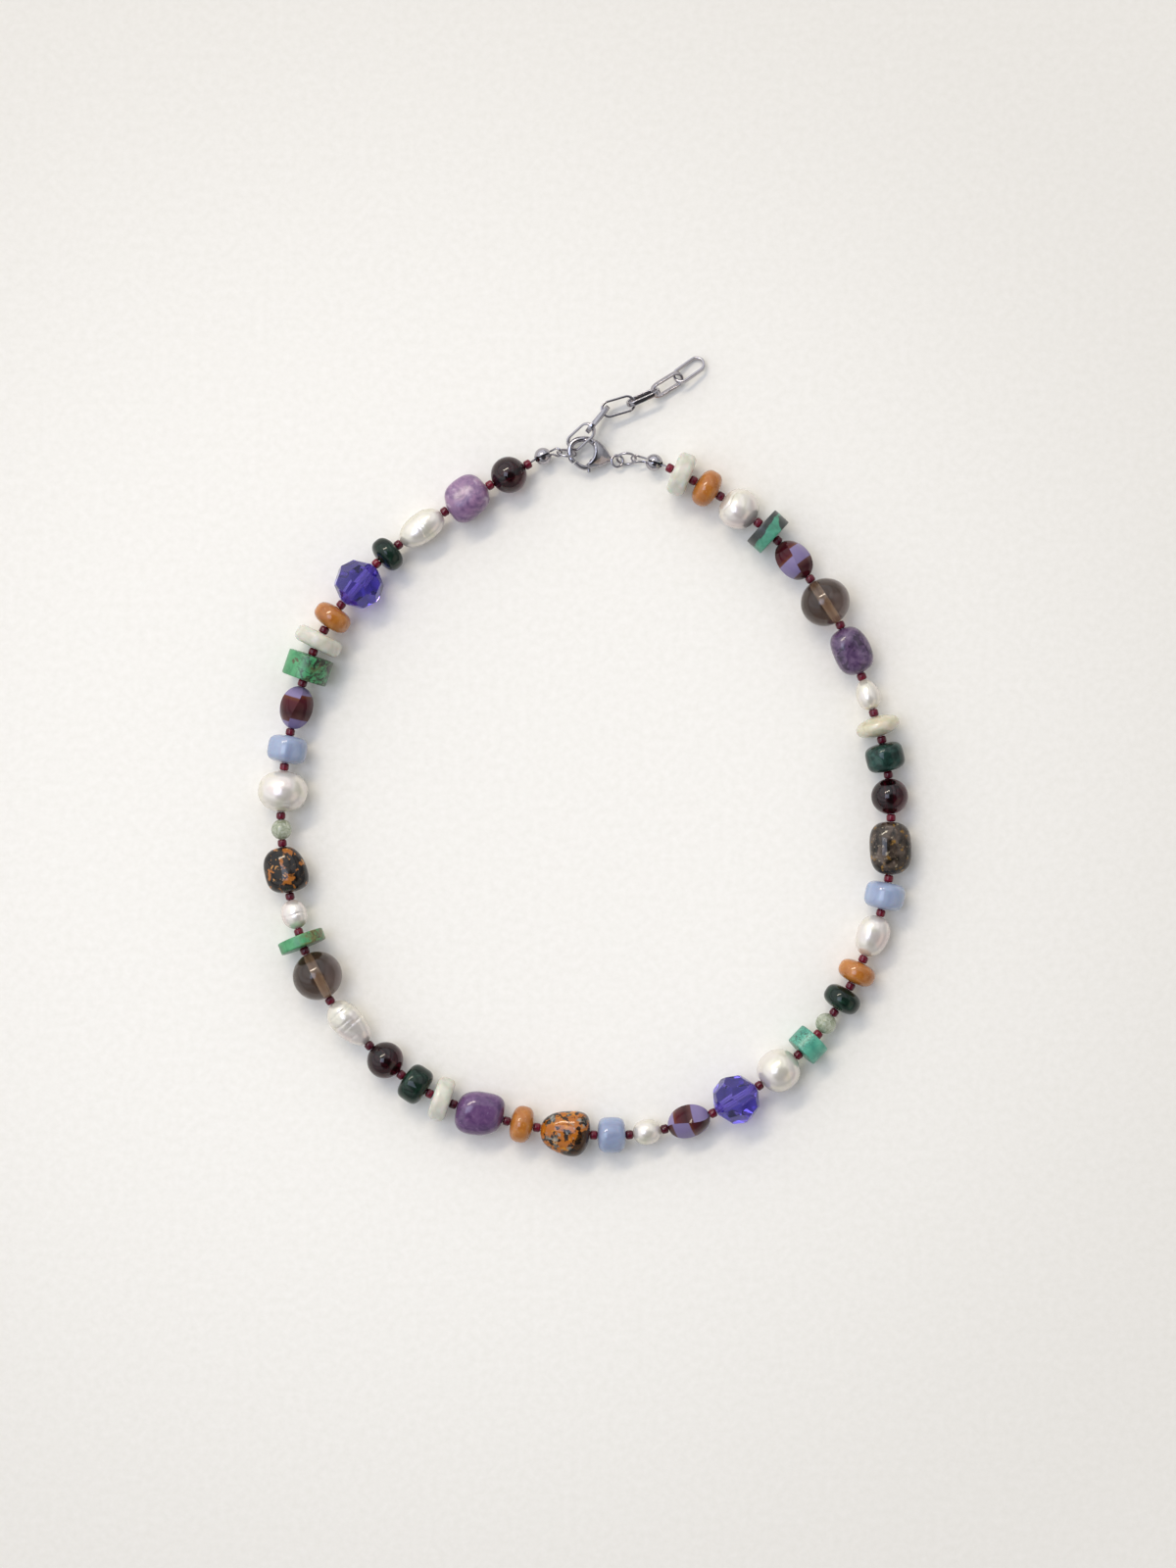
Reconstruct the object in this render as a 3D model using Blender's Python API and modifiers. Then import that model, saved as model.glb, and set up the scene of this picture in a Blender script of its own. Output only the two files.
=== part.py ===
"""A beaded necklace, closed and lying on a flat surface: 46 drilled beads of stone, glass and
pearl on beading wire, a lobster clasp with a sprung lever, and a short extension chain.
Metres, +Z up, at real size. The origin is on the surface, under the middle of the whole."""

import math

import bmesh
import bpy
from mathutils import Matrix, Vector

MM = 0.001

BORE_RADIUS = 0.65 * MM
WIRE_RADIUS = 0.22 * MM
SEED_LENGTH = 1.6 * MM  # the space that a seed bead takes between two main beads
SEED_RADIUS = 0.95 * MM
PLAY = 0.25 * MM  # the gap kept between pieces that touch or run in each other
COLLAR_BEVEL = 0.2 * MM
BEAD_ROWS = 7
WIRE_SIDES_RESOLUTION = 2

# Form of a bead: how square its profile is (2 is an ellipse), and how many sides it has.
FORMS = {
    "round": (2.0, 10),
    "large round": (2.0, 12),
    "faceted": (2.0, 8),
    "oval": (2.1, 8),
    "rondelle": (2.7, 10),
    "lens": (2.2, 10),
    "barrel": (3.6, 10),
    "disc": (4.5, 10),
    "cylinder": (14.0, 12),
    "nugget": (2.7, 12),
    "pearl": (2.2, 12),
}

# Name, form, length along the string, width across it, height, yaw. Millimetres and degrees.
BEADS = [
    ("garnet_round_1", "round", 7.2, 7.5, 7.5, 0),
    ("purple_nugget_1", "nugget", 9.1, 9.2, 8.2, 0),
    ("rice_pearl", "pearl", 10.0, 6.4, 6.0, 0),
    ("dark_green_rondelle_1", "rondelle", 4.3, 7.3, 7.3, 0),
    ("violet_faceted_1", "faceted", 9.5, 9.8, 9.8, 0),
    ("orange_rondelle_1", "rondelle", 4.6, 7.9, 7.9, 0),
    ("milky_disc_1", "disc", 3.4, 10.0, 10.0, 0),
    ("turquoise_cylinder_wide", "cylinder", 5.1, 9.4, 9.4, 0),
    ("striped_oval_1", "oval", 8.7, 6.7, 6.7, 0),
    ("blue_barrel_1", "barrel", 5.6, 8.1, 8.1, 0),
    ("oblate_pearl", "pearl", 8.4, 10.2, 9.0, 0),
    ("small_green_round_1", "round", 4.0, 4.2, 4.2, 0),
    ("brown_nugget_1", "nugget", 9.4, 9.2, 7.8, 0),
    ("coin_pearl", "pearl", 5.9, 5.5, 5.2, 0),
    ("turquoise_disc_thin", "cylinder", 2.4, 9.6, 9.6, 3),
    ("smoky_round_1", "large round", 9.8, 10.2, 10.2, 0),
    ("wrinkled_pearl", "pearl", 10.6, 6.8, 6.2, 0),
    ("garnet_round_2", "round", 7.2, 7.6, 7.6, 0),
    ("dark_green_barrel_1", "barrel", 5.4, 7.9, 7.9, 0),
    ("milky_disc_2", "disc", 3.7, 9.0, 9.0, 6),
    ("purple_nugget_2", "nugget", 9.8, 9.6, 8.2, 0),
    ("orange_rondelle_2", "rondelle", 4.7, 7.6, 7.6, 0),
    ("brown_nugget_2", "nugget", 10.1, 9.4, 8.0, 0),
    ("blue_barrel_2", "barrel", 5.7, 7.3, 7.3, 0),
    ("small_pearl", "pearl", 5.7, 5.2, 5.2, 0),
    ("striped_oval_2", "oval", 8.8, 6.7, 6.7, 0),
    ("violet_faceted_2", "faceted", 9.4, 9.7, 9.7, 0),
    ("round_pearl", "pearl", 8.5, 8.7, 8.5, 0),
    ("turquoise_cylinder_small", "cylinder", 4.2, 7.2, 7.2, 0),
    ("small_green_round_2", "round", 4.0, 4.3, 4.3, 0),
    ("dark_green_rondelle_2", "rondelle", 4.7, 7.8, 7.8, 0),
    ("orange_rondelle_3", "rondelle", 4.5, 7.8, 7.8, 0),
    ("oval_pearl", "pearl", 8.5, 6.9, 6.5, 0),
    ("blue_barrel_3", "barrel", 5.6, 8.2, 8.2, 2),
    ("brown_nugget_3", "nugget", 10.8, 9.1, 8.0, 0),
    ("garnet_round_3", "round", 7.2, 7.6, 7.6, 0),
    ("dark_green_barrel_2", "barrel", 5.7, 7.9, 7.9, 3),
    ("pale_lens", "lens", 4.1, 9.1, 9.1, 0),
    ("drop_pearl", "pearl", 6.2, 4.8, 4.8, 0),
    ("purple_nugget_3", "nugget", 9.8, 8.2, 7.8, 0),
    ("smoky_round_2", "large round", 9.6, 10.2, 10.2, 0),
    ("striped_oval_3", "oval", 8.7, 6.7, 6.7, 0),
    ("turquoise_disc_dark", "cylinder", 3.8, 8.6, 8.6, 0),
    ("banded_pearl", "pearl", 7.8, 8.6, 8.2, 0),
    ("orange_rondelle_4", "rondelle", 4.8, 7.8, 7.8, 0),
    ("milky_disc_3", "disc", 3.8, 8.9, 8.9, 6),
]

# Name: taper, lean and dent, as shares of the half width. A taper widens the bead towards its
# far end, a lean shifts its far end sideways, and a dent flattens three of its sides.
UNEVEN = {
    "purple_nugget_1": (0.05, 0.10, 0.05),
    "brown_nugget_1": (0.12, 0.10, 0.04),
    "purple_nugget_2": (-0.02, 0.16, 0.05),
    "brown_nugget_2": (0.24, 0.00, 0.05),
    "brown_nugget_3": (0.04, 0.05, 0.04),
    "purple_nugget_3": (-0.02, 0.02, 0.05),
    "rice_pearl": (-0.05, 0.00, 0.02),
    "coin_pearl": (0.00, 0.04, 0.03),
    "wrinkled_pearl": (-0.10, 0.06, 0.05),
    "oval_pearl": (0.08, 0.00, 0.03),
    "drop_pearl": (-0.10, 0.00, 0.00),
    "banded_pearl": (0.06, 0.00, 0.02),
}

# Route of the string over the surface, from the first seed bead to the last, in millimetres
# from the middle of the loop. These few points are chosen by eye.
ROUTE = [
    (-12.3, 58.4),
    (-29.3, 48.7),
    (-43.1, 38.1),
    (-53.7, 24.6),
    (-58.1, 13.9),
    (-61.8, -3.0),
    (-62.3, -18.6),
    (-58.9, -36.7),
    (-52.6, -50.6),
    (-38.2, -65.8),
    (-27.6, -71.8),
    (-10.7, -76.6),
    (8.2, -78.2),
    (25.6, -73.6),
    (42.9, -61.8),
    (50.2, -53.1),
    (56.0, -42.6),
    (61.2, -26.2),
    (61.2, -5.1),
    (58.2, 7.7),
    (51.3, 25.7),
    (38.6, 42.9),
    (27.0, 51.9),
    (16.7, 57.6),
]
CURVE_STEPS = 24

COVER_RADIUS = 1.75 * MM
COVER_BORE = 0.85 * MM
COVER_SLIT = 0.3 * MM
COVER_SLIT_DEPTH = 0.5 * MM
COVER_HEIGHT = 2.4 * MM
LEFT_COVER = Vector((-9.2, 60.2, 0)) * MM
RIGHT_COVER = Vector((13.5, 58.9, 0)) * MM
LOOP_RADIUS = 0.85 * MM
LOOP_TURN = 115  # degrees that the end loop turns round the ring on each side
LOOP_STEPS = 8
STRAND_SPREAD = 0.37 * MM

RING_RADIUS = 1.9 * MM  # to the middle of the wire
RING_WIRE = 0.27 * MM
RING_SEGMENTS = 14
WIRE_SIDES = 6

CLASP_PLACE = Vector((6.0, 59.3, 1.4)) * MM
CLASP_HEADING = -8.0
CLASP_PITCH = 7.0  # the hook's end stands higher than the tail ring
TAIL_RING_RADIUS = 1.16 * MM
TAIL_WIRE = 0.28 * MM
BODY_TILT = 6.5  # degrees that the body's axis turns to the hook's side
BODY_LENGTH = 5.9 * MM
BODY_HALF_WIDTH = 3.15 * MM
BODY_HALF_THICKNESS = 1.5 * MM
# Shares of the body's length from the tail ring, and of its half width.
BODY_PROFILE = [
    (0.17, 0.10),
    (0.26, 0.17),
    (0.38, 0.40),
    (0.56, 0.68),
    (0.76, 0.88),
    (0.92, 0.99),
    (1.00, 0.95),
]
BODY_SIDES = 20
HOOK_WIRE = 0.45 * MM
# Middle line of the hook, in shares of the hook's reach and of the body's half width.
HOOK_REACH = 9.95 * MM
HOOK_LINE = [
    (0.50, 0.86),
    (0.62, 1.09),
    (0.74, 1.10),
    (0.87, 0.98),
    (0.96, 0.75),
    (1.00, 0.46),
    (1.00, 0.14),
    (0.97, -0.17),
    (0.94, -0.35),
    (0.885, -0.50),
]
PIVOT = Vector((-4.8, -1.1, 0)) * MM
PIN_RADIUS = 0.3 * MM
PIN_PLAY = 0.1 * MM
BOSS_RADIUS = 0.95 * MM
LEVER_HALF_THICKNESS = 0.38 * MM
LEVER_WIRE = 0.34 * MM
# Middle line of the lever's arm from its pivot, in shares of the arm's reach.
LEVER_REACH = 3.35 * MM
LEVER_LINE = [(0.00, 0.00), (0.45, -0.33), (0.78, -0.29), (1.00, -0.16)]
NUB_LINE = [(0.26, -0.24), (0.20, -0.70)]
NUB_WIRE = 0.3 * MM

LINK_LENGTH = 7.4 * MM
LINK_SLACK = 0.9 * MM
LINK_WIDTH = 3.6 * MM
STRIP_THICKNESS = 0.5 * MM
STRIP_WIDTH = 1.0 * MM
LINK_ARC_STEPS = 7
FIRST_LINK = Vector((-1.4, 64.15, 3.15)) * MM
# Heading, pitch and roll of each link in degrees. Each link hangs in the end of the one before.
LINKS = [
    (40, 31, -4),
    (51, -24, 90),
    (17, -6.5, 4),
    (24, -0.5, -69),
    (32, -1.5, 44),
    (36, -11, -22),
]
SECOND_LINK_LIFT = 0.4 * MM
# Name, middle in millimetres, heading and lean of each jump ring.
RINGS = [
    ("jump_ring_left", (-4.35, 60.85, 2.2), -8, 113),
    ("jump_ring_right", (7.85, 59.72, 1.8), 0, 58),
]

# Name of a finish: colour, roughness and metallic value.
FINISHES = {
    "garnet": ((0.03, 0.004, 0.008), 0.08, 0),
    "purple": ((0.24, 0.15, 0.33), 0.25, 0),
    "pearl": ((0.80, 0.78, 0.72), 0.2, 0),
    "dark_green": ((0.012, 0.035, 0.025), 0.1, 0),
    "violet": ((0.09, 0.03, 0.35), 0.05, 0),
    "orange": ((0.45, 0.18, 0.06), 0.15, 0),
    "milky": ((0.70, 0.68, 0.58), 0.3, 0),
    "turquoise": ((0.08, 0.38, 0.26), 0.4, 0),
    "striped": ((0.08, 0.02, 0.05), 0.08, 0),
    "blue": ((0.27, 0.36, 0.60), 0.15, 0),
    "small_green": ((0.36, 0.42, 0.30), 0.2, 0),
    "brown": ((0.10, 0.06, 0.03), 0.15, 0),
    "smoky": ((0.08, 0.055, 0.04), 0.05, 0),
    "pale": ((0.60, 0.60, 0.44), 0.25, 0),
    "steel": ((0.70, 0.70, 0.72), 0.12, 1),
}


def clear_scene():
    for obj in list(bpy.data.objects):
        bpy.data.objects.remove(obj, do_unlink=True)


def new_collection(name, hidden=False):
    collection = bpy.data.collections.new(name)
    bpy.context.scene.collection.children.link(collection)
    collection.hide_render = hidden
    return collection


def finish(name):
    material = bpy.data.materials.get(name)
    if material is None:
        colour, roughness, metallic = FINISHES[name]
        material = bpy.data.materials.new(name)
        material.use_nodes = True
        shader = material.node_tree.nodes["Principled BSDF"]
        shader.inputs["Base Color"].default_value = (*colour, 1)
        shader.inputs["Roughness"].default_value = roughness
        shader.inputs["Metallic"].default_value = metallic
        material.diffuse_color = (*colour, 1)
    return material


def finish_of(name):
    """The finish named by the start of a bead's name, or pearl for the rest."""
    for key in FINISHES:
        if name.startswith(key):
            return key
    return "pearl"


def add_object(name, data, collection, parent=None, material=None):
    obj = bpy.data.objects.new(name, data)
    collection.objects.link(obj)
    obj.parent = parent
    if material:
        data.materials.append(finish(material))
    return obj


def evaluated_mesh(obj, name):
    """The object's mesh with its modifiers and curve caps made real and welded."""
    bpy.context.view_layer.update()
    graph = bpy.context.evaluated_depsgraph_get()
    mesh = bpy.data.meshes.new_from_object(obj.evaluated_get(graph))
    mesh.name = name
    bm = bmesh.new()
    bm.from_mesh(mesh)
    bmesh.ops.remove_doubles(bm, verts=bm.verts, dist=0.001 * MM)
    bmesh.ops.recalc_face_normals(bm, faces=bm.faces)
    bm.to_mesh(mesh)
    bm.free()
    return mesh


def turned_mesh(name, profile, sides, closed):
    """Turns a profile of (radius, height) about Z with a Screw modifier."""
    mesh = bpy.data.meshes.new(name)
    bm = bmesh.new()
    points = [bm.verts.new((radius, 0, height)) for radius, height in profile]
    for start, end in zip(points, points[1:]):
        bm.edges.new((start, end))
    if closed:
        bm.edges.new((points[-1], points[0]))
    bm.to_mesh(mesh)
    bm.free()
    helper = bpy.data.objects.new(name + "_profile", mesh)
    bpy.context.scene.collection.objects.link(helper)
    screw = helper.modifiers.new("turn", "SCREW")
    screw.steps = sides
    screw.render_steps = sides
    screw.use_merge_vertices = True
    screw.merge_threshold = 0.001 * MM
    turned = evaluated_mesh(helper, name)
    bpy.data.objects.remove(helper)
    bpy.data.meshes.remove(mesh)
    return turned


def smooth_curve(points, steps):
    """Points along a smooth curve through the given points, steps to each span."""
    ends = [points[0] * 2 - points[1]] + list(points) + [points[-1] * 2 - points[-2]]
    curve = []
    for before, start, end, after in zip(ends, ends[1:], ends[2:], ends[3:]):
        span = (end - start).length
        leave = (end - before) * (span / (span + (start - before).length))
        arrive = (after - start) * (span / (span + (after - end).length))
        for step in range(steps):
            t = step / steps
            curve.append(
                start * (2 * t**3 - 3 * t**2 + 1)
                + leave * (t**3 - 2 * t**2 + t)
                + end * (3 * t**2 - 2 * t**3)
                + arrive * (t**3 - t**2)
            )
    return curve + [points[-1]]


def distances_along(curve):
    run = [0.0]
    for start, end in zip(curve, curve[1:]):
        run.append(run[-1] + (end - start).length)
    return run


def point_at(curve, run, distance):
    for index in range(1, len(run)):
        if run[index] >= distance or index == len(run) - 1:
            share = (distance - run[index - 1]) / (run[index] - run[index - 1])
            return curve[index - 1].lerp(curve[index], share)
    return curve[-1]


def route_curve(length):
    """The string's route, its middle grown or shrunk until it is as long as the beads on it."""
    points = [Vector((x, y, 0)) * MM for x, y in ROUTE]
    gate = (points[0] + points[-1]) / 2
    growth = 1.0
    for _ in range(12):
        grown = [gate + (point - gate) * growth for point in points[1:-1]]
        curve = smooth_curve([points[0], *grown, points[-1]], CURVE_STEPS)
        run = distances_along(curve)
        growth *= length / run[-1]
    return curve, run


def seed_places():
    """The middle of each seed bead, at the bore height of the taller bead beside it."""
    lengths = [row[2] * MM for row in BEADS]
    heights = [row[4] * MM for row in BEADS]
    curve, run = route_curve(sum(lengths) + SEED_LENGTH * len(lengths))
    places = []
    distance = 0.0
    for index in range(len(lengths) + 1):
        place = point_at(curve, run, distance)
        beside = heights[max(index - 1, 0) : index + 1]
        places.append(Vector((place.x, place.y, max(beside) / 2)))
        if index < len(lengths):
            distance += lengths[index] + SEED_LENGTH
    return places


def frame_along(direction, yaw=0.0):
    """Local Z along the string, local X level and across it, local Y up."""
    forward = Matrix.Rotation(math.radians(yaw), 3, "Z") @ direction.normalized()
    across = Vector((0, 0, 1)).cross(forward).normalized()
    up = forward.cross(across)
    return Matrix((across, up, forward)).transposed()


def bead_profile(length, radius, power):
    """Down the outside and back up the bore."""
    start = math.asin((BORE_RADIUS / radius) ** (power / 2))
    full = math.cos(start) ** (2 / power)
    profile = []
    for row in range(BEAD_ROWS + 1):
        angle = start + (math.pi - 2 * start) * row / BEAD_ROWS
        along = math.copysign(abs(math.cos(angle)) ** (2 / power), math.cos(angle))
        across = math.sin(angle) ** (2 / power)
        profile.append((radius * across, length / 2 * along / full))
    return profile


def shape_bead(mesh, name, length, width, height):
    """Flattens the turned bead to its height and gives a nugget or pearl its uneven form."""
    taper, lean, dent = UNEVEN.get(name, (0, 0, 0))
    span = width / 2 - BORE_RADIUS
    for vertex in mesh.vertices:
        radius = math.hypot(vertex.co.x, vertex.co.y)
        outside = (radius - BORE_RADIUS) / span
        if outside < 0.01:
            continue
        along = vertex.co.z / (length / 2)
        angle = math.atan2(vertex.co.y, vertex.co.x)
        swell = 1 + taper * along - dent * (1 + math.cos(3 * angle + 0.6)) * outside
        level = BORE_RADIUS + (height / 2 - BORE_RADIUS) * outside
        vertex.co.x = vertex.co.x * swell + lean * along * outside * width / 2
        vertex.co.y = vertex.co.y * swell * level / radius


def add_bead(row, start, end, collection, parent):
    name, form, length, width, height, yaw = row
    power, sides = FORMS[form]
    profile = bead_profile(length * MM, width / 2 * MM, power)
    mesh = turned_mesh(name, profile, sides, closed=True)
    shape_bead(mesh, name, length * MM, width * MM, height * MM)
    if form not in ("faceted", "oval"):
        mesh.shade_smooth()
        mesh.set_sharp_from_angle(angle=math.radians(50))
    bead = add_object(name, mesh, collection, parent, finish_of(name))
    bead.location = (start + end) / 2
    bead.rotation_euler = frame_along(end - start, yaw).to_euler()
    return bead


def wire_curve(name, points, radii, parent, collection, material, resolution, cyclic=False):
    data = bpy.data.curves.new(name, "CURVE")
    data.dimensions = "3D"
    data.bevel_depth = 1.0 * MM
    data.bevel_resolution = resolution
    data.use_fill_caps = not cyclic
    data.twist_mode = "MINIMUM"
    spline = data.splines.new("POLY")
    spline.points.add(len(points) - 1)
    for point, place, radius in zip(spline.points, points, radii):
        point.co = (*place, 1)
        point.radius = radius / MM
    spline.use_cyclic_u = cyclic
    return add_object(name, data, collection, parent, material)


def collar(middle, direction):
    """Four points where the wire swells to the size of a seed bead, and their radii."""
    half = SEED_LENGTH / 2 - PLAY
    shoulder = half - COLLAR_BEVEL
    direction = direction.normalized()
    places = [middle + direction * share for share in (-half, -shoulder, shoulder, half)]
    return places, [WIRE_RADIUS, SEED_RADIUS, SEED_RADIUS, WIRE_RADIUS]


def end_loop(ring_side, rise, cover, axis):
    """Points of the wire from its short tail in the cover, round the ring and back through."""
    across = Vector((0, 0, 1)).cross(axis).normalized() * STRAND_SPREAD
    mouth = cover - axis * COVER_RADIUS * 1.15
    outward = (ring_side - mouth).normalized()
    sideways = rise.cross(outward).normalized()
    points = [cover - axis * COVER_RADIUS * 0.1 + across, mouth + across]
    for step in range(LOOP_STEPS + 1):
        angle = math.radians(LOOP_TURN * (1 - 2 * step / LOOP_STEPS))
        reach = outward * math.cos(angle) - sideways * math.sin(angle)
        points.append(ring_side + reach * LOOP_RADIUS)
    points += [mouth - across, cover + axis * COVER_RADIUS * 0.15 - across]
    points.append(cover + axis * COVER_RADIUS * 1.1)
    return points


def add_string(seeds, covers, axes, ring_sides, collection, parent):
    points = end_loop(*ring_sides[0], covers[0], axes[0])
    radii = [WIRE_RADIUS] * len(points)
    for index, seed in enumerate(seeds):
        before = seeds[max(index - 1, 0)]
        after = seeds[min(index + 1, len(seeds) - 1)]
        places, sizes = collar(seed, (seed - before).normalized() + (after - seed).normalized())
        points += places
        radii += sizes
    last = end_loop(*ring_sides[1], covers[1], axes[1])
    points += reversed(last)
    radii += [WIRE_RADIUS] * len(last)
    return wire_curve(
        "stringing_wire", points, radii, parent, collection, "steel", WIRE_SIDES_RESOLUTION
    )


def boolean(obj, other, operation):
    modifier = obj.modifiers.new(other.name, "BOOLEAN")
    modifier.operation = operation
    modifier.object = other
    modifier.solver = "EXACT"
    return modifier


def helper_mesh(name, bm, collection, parent):
    mesh = bpy.data.meshes.new(name)
    bm.to_mesh(mesh)
    bm.free()
    helper = add_object(name, mesh, collection, parent)
    helper.hide_render = True
    helper.display_type = "WIRE"
    return helper


def box_helper(name, size, middle, collection, parent):
    bm = bmesh.new()
    bmesh.ops.create_cube(bm, size=1, matrix=Matrix.Translation(middle) @ Matrix.Diagonal((*size, 1)))
    return helper_mesh(name, bm, collection, parent)


def cylinder_helper(name, radius, depth, middle, collection, parent, sides=12):
    bm = bmesh.new()
    bmesh.ops.create_cone(
        bm,
        cap_ends=True,
        segments=sides,
        radius1=radius,
        radius2=radius,
        depth=depth,
        matrix=Matrix.Translation(middle),
    )
    return helper_mesh(name, bm, collection, parent)


def solid_of(obj, collection, parent):
    """A hidden mesh copy of a curve object, so that a Boolean can use it."""
    mesh = evaluated_mesh(obj, obj.name + "_solid")
    helper = add_object(obj.name + "_solid", mesh, collection, parent)
    helper.hide_render = True
    helper.display_type = "WIRE"
    bpy.data.objects.remove(obj)
    return helper


def add_cover(name, place, direction, collection, cutters, parent):
    """A folded metal ball: a bore for the wire and the slit where its halves meet."""
    start = math.asin(COVER_BORE / COVER_RADIUS)
    profile = []
    for row in range(BEAD_ROWS + 1):
        angle = start + (math.pi - 2 * start) * row / BEAD_ROWS
        profile.append((COVER_RADIUS * math.sin(angle), COVER_RADIUS * math.cos(angle)))
    mesh = turned_mesh(name, profile, 12, closed=True)
    mesh.shade_smooth()
    cover = add_object(name, mesh, collection, parent, "steel")
    cover.location = place
    cover.rotation_euler = frame_along(direction).to_euler()
    slit = box_helper(
        name + "_slit",
        (COVER_SLIT, COVER_SLIT_DEPTH * 2, COVER_RADIUS * 3),
        Vector((0, COVER_RADIUS, 0)),
        cutters,
        cover,
    )
    boolean(cover, slit, "DIFFERENCE")
    return cover


def add_ring(name, place, heading, lean, collection, parent):
    """A jump ring of round wire: level it would lie flat, and the lean tips it on its long axis."""
    points = []
    for index in range(RING_SEGMENTS):
        angle = 2 * math.pi * index / RING_SEGMENTS
        points.append(Vector((math.cos(angle), math.sin(angle), 0)) * RING_RADIUS)
    ring = wire_curve(
        name, points, [RING_WIRE] * RING_SEGMENTS, parent, collection, "steel", 1, cyclic=True
    )
    ring.location = Vector(place) * MM
    ring.rotation_euler = (math.radians(lean), 0, math.radians(heading))
    return ring


def nearest_on_ring(ring, place):
    """The point of the ring's middle circle nearest to a place, and the wire's way up there."""
    turn = ring.rotation_euler.to_matrix()
    local = turn.transposed() @ (place - ring.location)
    level = Vector((local.x, local.y, 0)).normalized()
    rise = turn @ Vector((-level.y, level.x, 0))
    if rise.z < 0:
        rise = -rise
    return ring.location + turn @ (level * RING_RADIUS), rise


def link_turn(heading, pitch, roll):
    turn = Matrix.Rotation(math.radians(heading), 3, "Z")
    turn = turn @ Matrix.Rotation(math.radians(-pitch), 3, "Y")
    return turn @ Matrix.Rotation(math.radians(roll), 3, "X")


def add_link(name, place, turn, collection, parent):
    """An oval link cut from flat strip: its outline and its opening, extruded to the strip's width."""
    data = bpy.data.curves.new(name, "CURVE")
    data.dimensions = "2D"
    data.fill_mode = "BOTH"
    data.extrude = STRIP_WIDTH / 2
    for inset in (0.0, STRIP_THICKNESS):
        radius = LINK_WIDTH / 2 - inset
        straight = LINK_LENGTH / 2 - LINK_WIDTH / 2
        spline = data.splines.new("POLY")
        spline.points.add(2 * LINK_ARC_STEPS + 1)
        for index, point in enumerate(spline.points):
            far = index // (LINK_ARC_STEPS + 1)
            share = index % (LINK_ARC_STEPS + 1) / LINK_ARC_STEPS
            angle = math.pi * (share + far - 0.5)
            x = radius * math.cos(angle) + (straight if far == 0 else -straight)
            point.co = (x, radius * math.sin(angle), 0, 1)
        spline.use_cyclic_u = True
    link = add_object(name, data, collection, parent, "steel")
    link.location = place
    link.rotation_euler = turn.to_euler()
    return link


def add_chain(collection, parent):
    """Each link's end lies in the end of the link before it, a small gap between them."""
    reach = LINK_LENGTH / 2 - STRIP_THICKNESS - LINK_SLACK / 2
    along = link_turn(*LINKS[0]) @ Vector((1, 0, 0))
    joint = FIRST_LINK - along * reach
    for index, angles in enumerate(LINKS):
        turn = link_turn(*angles)
        along = turn @ Vector((1, 0, 0))
        if index == 1:
            joint.z += SECOND_LINK_LIFT
        add_link(f"chain_link_{index + 1}", joint + along * reach, turn, collection, parent)
        joint += along * reach * 2


def clasp_frame(parent, collection):
    frame = add_object("clasp_frame", None, collection, parent)
    frame.location = CLASP_PLACE
    frame.rotation_euler = (0, math.radians(CLASP_PITCH), math.radians(CLASP_HEADING))
    return frame


def line_points(line, reach, half_width, origin=Vector((0, 0, 0))):
    places = [origin + Vector((-along * reach, across * half_width, 0)) for along, across in line]
    return smooth_curve(places, 2)


def add_clasp_body(frame, collection, cutters):
    """Tail ring, thick body with a slot and hinge pin for the lever, and the hook, in one solid."""
    profile = [(0, -BODY_PROFILE[0][0] * BODY_LENGTH)]
    profile += [(width * BODY_HALF_WIDTH, -along * BODY_LENGTH) for along, width in BODY_PROFILE]
    profile.append((0, -BODY_LENGTH))
    mesh = turned_mesh("clasp_body", profile, BODY_SIDES, closed=False)
    flatten = Matrix.Diagonal((1, BODY_HALF_THICKNESS / BODY_HALF_WIDTH, 1, 1))
    stand = Matrix.Rotation(math.radians(90), 4, "Y") @ Matrix.Rotation(math.radians(90), 4, "Z")
    tilt = Matrix.Rotation(math.radians(-BODY_TILT), 4, "Z")
    mesh.transform(tilt @ stand @ flatten)
    mesh.shade_smooth()
    mesh.set_sharp_from_angle(angle=math.radians(45))
    body = add_object("clasp_body", mesh, collection, frame, "steel")

    hook_points = line_points(HOOK_LINE, HOOK_REACH, BODY_HALF_WIDTH)
    hook = wire_curve(
        "clasp_hook", hook_points, [HOOK_WIRE] * len(hook_points), frame, cutters, None, 2
    )
    boolean(body, solid_of(hook, cutters, frame), "UNION")

    ring_points = []
    for index in range(RING_SEGMENTS):
        angle = 2 * math.pi * index / RING_SEGMENTS
        ring_points.append(Vector((math.cos(angle), math.sin(angle), 0)) * TAIL_RING_RADIUS)
    tail = wire_curve(
        "clasp_tail", ring_points, [TAIL_WIRE] * RING_SEGMENTS, frame, cutters, None, 1, cyclic=True
    )
    boolean(body, solid_of(tail, cutters, frame), "UNION")

    slot_side = BOSS_RADIUS + PLAY
    slot_size = Vector((BODY_LENGTH, BODY_LENGTH, 2 * (LEVER_HALF_THICKNESS + PLAY)))
    slot_corner = PIVOT + Vector((slot_side, slot_side, 0))
    slot = box_helper(
        "clasp_slot",
        slot_size,
        slot_corner - Vector((slot_size.x / 2, slot_size.y / 2, 0)),
        cutters,
        frame,
    )
    boolean(body, slot, "DIFFERENCE")
    pin = cylinder_helper(
        "clasp_pin", PIN_RADIUS, 2 * (LEVER_HALF_THICKNESS + 2 * PLAY), PIVOT, cutters, frame, 8
    )
    boolean(body, pin, "UNION")
    return body


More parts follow.
